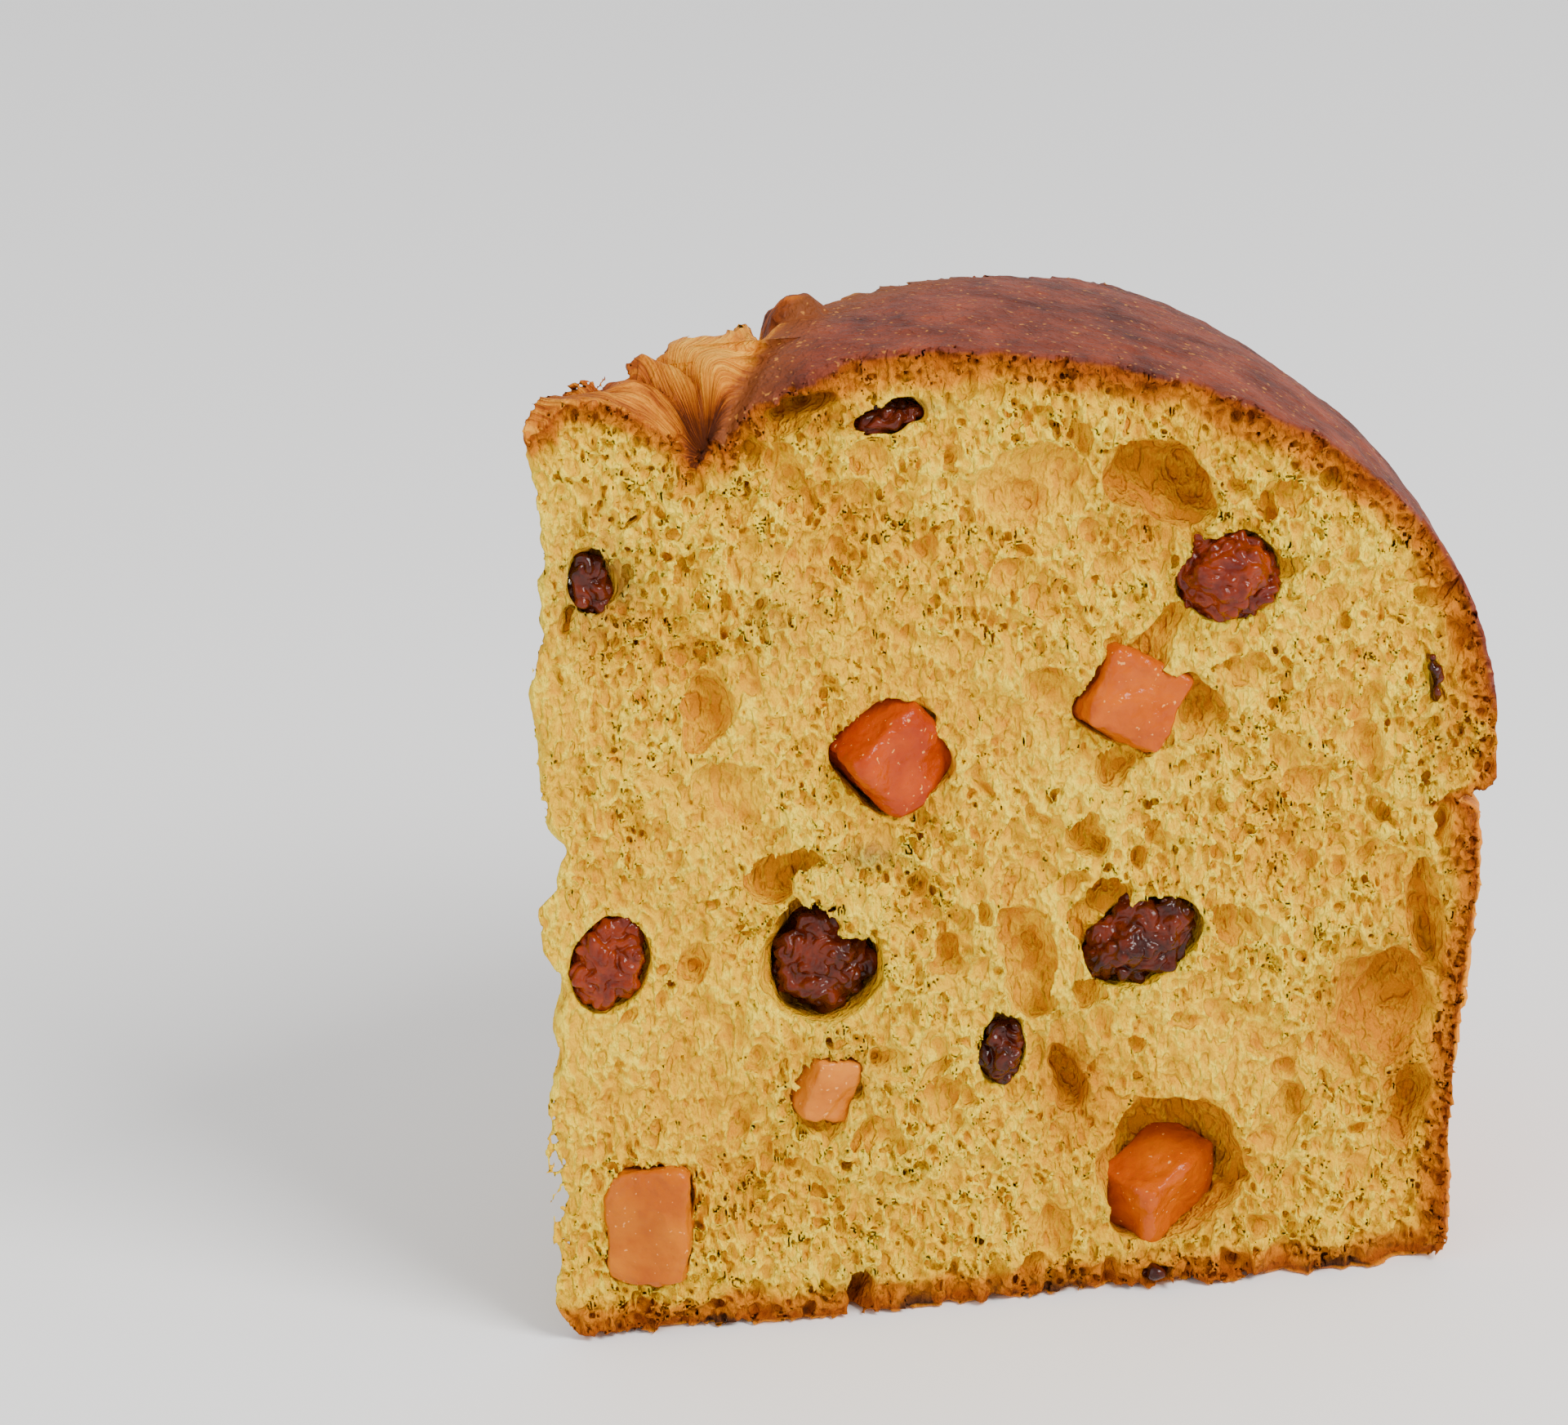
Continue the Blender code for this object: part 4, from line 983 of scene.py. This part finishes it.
def raisin_look(name, skin, flesh):
    """A thin dark skin over flesh that glows a little where it is thin, with a sticky gloss."""
    made = bpy.data.materials.new(name)
    made.use_nodes = True
    tree = made.node_tree
    shader = tree.nodes["Principled BSDF"]
    where = node(tree, "ShaderNodeTexCoord").outputs["Object"]
    patches = between(tree, speckle(tree, where, 260.0, 3.0, 0.6), 0.38, 0.66)
    tree.links.new(blended(tree, patches, skin, flesh), shader.inputs["Base Color"])
    smudged = speckle(tree, where, 420.0, 2.0)
    tree.links.new(between(tree, smudged, 0.3, 0.7, 0.14, 0.32), shader.inputs["Roughness"])
    shader.inputs["Specular IOR Level"].default_value = 0.22
    shader.inputs["Coat Weight"].default_value = 0.12
    shader.inputs["Coat Roughness"].default_value = 0.1
    shader.inputs["Subsurface Weight"].default_value = 0.15
    shader.inputs["Subsurface Radius"].default_value = (1.0, 0.2, 0.05)
    shader.inputs["Subsurface Scale"].default_value = 0.0012
    tree.links.new(bump(tree, speckle(tree, where, 1100.0, 2.0), 0.0003, 0.7), shader.inputs["Normal"])
    return made


red_raisin = raisin_look("raisin_red_brown", (0.10, 0.006, 0.0), (0.24, 0.026, 0.0))
dark_raisin = raisin_look("raisin_dark", (0.026, 0.002, 0.0), (0.125, 0.012, 0.0))
for name, *_ in FRONT_RAISINS + BACK_RAISINS:
    raisin = merged_copy(name + "_wrinkled", name)
    levels = 3 if len(raisin.data.polygons) > COARSE_LUMP_FACES else 4
    finished(raisin, "SUBSURF", levels=levels, render_levels=levels)
    finished(raisin, "DISPLACE", texture=deep_creases, strength=DEEP_CREASE, mid_level=0.25)
    finished(raisin, "DISPLACE", texture=small_creases, strength=SMALL_CREASE, mid_level=0.3)
    raisin.data.shade_smooth()
    raisin.data.materials.append(red_raisin if name in RED_RAISINS else dark_raisin)
    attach(raisin, "root")
    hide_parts(name)


# The candied orange peel. Dice of peel soaked in syrup until they are clear: firm and sticky, with sharp
# cut sides that have slumped a little and specks of pith inside. Each follows its dice in the solids.

soft_waves = creases("peel_slump", 0.005, False)
small_dents = creases("peel_dents", 0.0012, False)
SLUMP = 0.0012
PITH_SPECK = (0.9, 0.45, 0.12)
DENT = 0.00035


def peel_look(name, deep, light):
    """Clear orange flesh with lighter clouds and tiny bright specks in it, under a sticky gloss."""
    made = bpy.data.materials.new(name)
    made.use_nodes = True
    tree = made.node_tree
    shader = tree.nodes["Principled BSDF"]
    where = node(tree, "ShaderNodeTexCoord").outputs["Object"]
    clouded = between(tree, speckle(tree, where, 170.0, 3.0, 0.6), 0.35, 0.7)
    specks = between(tree, speckle(tree, where, 1500.0, 1.0), 0.70, 0.76, 0.0, 0.6)
    flesh = blended(tree, specks, blended(tree, clouded, deep, light), PITH_SPECK)
    tree.links.new(flesh, shader.inputs["Base Color"])
    smudged = speckle(tree, where, 300.0)
    tree.links.new(between(tree, smudged, 0.35, 0.65, 0.1, 0.26), shader.inputs["Roughness"])
    shader.inputs["Specular IOR Level"].default_value = 0.18
    shader.inputs["Subsurface Weight"].default_value = 0.15
    shader.inputs["Subsurface Radius"].default_value = (1.0, 0.25, 0.04)
    shader.inputs["Subsurface Scale"].default_value = 0.003
    tree.links.new(bump(tree, speckle(tree, where, 1100.0, 3.0), 0.0004, 0.6), shader.inputs["Normal"])
    return made


red_peel = peel_look("peel_orange_red", (0.29, 0.022, 0.0), (0.45, 0.055, 0.0))
orange_peel = peel_look("peel_orange", (0.38, 0.055, 0.0), (0.53, 0.105, 0.0))
yellow_peel = peel_look("peel_orange_yellow", (0.42, 0.085, 0.0), (0.55, 0.15, 0.0))
pale_peel = peel_look("peel_pale", (0.50, 0.125, 0.003), (0.62, 0.20, 0.015))
peel_looks = (red_peel, orange_peel, yellow_peel, orange_peel, pale_peel, orange_peel, red_peel, yellow_peel)
for (name, *_), look in zip(FRONT_PEELS + BACK_PEELS, peel_looks):
    peel = merged_copy(name + "_candied", name)
    finished(peel, "SUBSURF", levels=3, render_levels=3)
    finished(peel, "DISPLACE", texture=soft_waves, strength=SLUMP, mid_level=0.5)
    finished(peel, "DISPLACE", texture=small_dents, strength=DENT, mid_level=0.5)
    peel.data.shade_smooth()
    peel.data.materials.append(look)
    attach(peel, "root")
    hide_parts(name)


# The studio: a white table with a soft light from the right and in front, and a weak one from the left.

FLOOR_WHITE = (0.93, 0.93, 0.935, 1.0)
FLOOR_SIZE = 6.0
LIGHT_AIM = (0.0, 0.0, 0.05)
bpy.ops.object.select_all(action="DESELECT")
bpy.ops.mesh.primitive_plane_add(size=FLOOR_SIZE)
floor = bpy.context.object
floor.name = "floor"
floor_look = bpy.data.materials.new("floor")
floor_look.use_nodes = True
floor_look.node_tree.nodes["Principled BSDF"].inputs["Base Color"].default_value = FLOOR_WHITE
floor_look.node_tree.nodes["Principled BSDF"].inputs["Roughness"].default_value = 0.9
floor.data.materials.append(floor_look)

world = bpy.data.worlds.new("studio")
bpy.context.scene.world = world
world.use_nodes = True
world.node_tree.nodes["Background"].inputs["Color"].default_value = (1.0, 1.0, 1.0, 1.0)
world.node_tree.nodes["Background"].inputs["Strength"].default_value = 0.95


def soft_light(name, place, size, power, colour=(1.0, 1.0, 1.0)):
    lamp = bpy.data.lights.new(name, "AREA")
    lamp.shape = "RECTANGLE"
    lamp.size, lamp.size_y = size
    lamp.energy = power
    lamp.color = colour
    lit = bpy.data.objects.new(name, lamp)
    lit.location = place
    lit.rotation_euler = (Vector(LIGHT_AIM) - Vector(place)).to_track_quat("-Z", "Y").to_euler()
    bpy.context.scene.collection.objects.link(lit)


soft_light("key", (0.50, -0.60, 0.80), (0.45, 0.45), 14.5, (1.0, 0.98, 0.95))
soft_light("fill", (-0.7, -0.6, 0.4), (0.7, 0.7), 2.0)

# The camera stands in front of the shown cut, 7 degrees to its left, and looks down on it by 21 degrees
AZIMUTH, ELEVATION, ROLL = math.radians(-6.78), math.radians(21.26), math.radians(-2.23)
CAMERA_DISTANCE = 0.7
LENS = 7556 / 1920 * 36.0
AIM_FROM_TIP = Vector((27.30, 0.0, 77.57)) / 1000
eye = bpy.data.cameras.new("camera")
eye.sensor_width = 36.0
eye.lens = LENS
camera = bpy.data.objects.new("camera", eye)
bpy.context.scene.collection.objects.link(camera)
level = Vector((math.sin(AZIMUTH), -math.cos(AZIMUTH), 0.0))
out = level * math.cos(ELEVATION) + Vector((0.0, 0.0, math.sin(ELEVATION)))
right = (-out).cross(Vector((0.0, 0.0, 1.0))).normalized()
up = right.cross(-out)
tilted = right * math.cos(ROLL) + up * math.sin(ROLL)
upright_side = up * math.cos(ROLL) - right * math.sin(ROLL)
camera.location = tip_foot + AIM_FROM_TIP + out * CAMERA_DISTANCE
camera.rotation_mode = "QUATERNION"
camera.rotation_quaternion = Matrix((tilted, upright_side, out)).transposed().to_quaternion()
bpy.context.scene.camera = camera
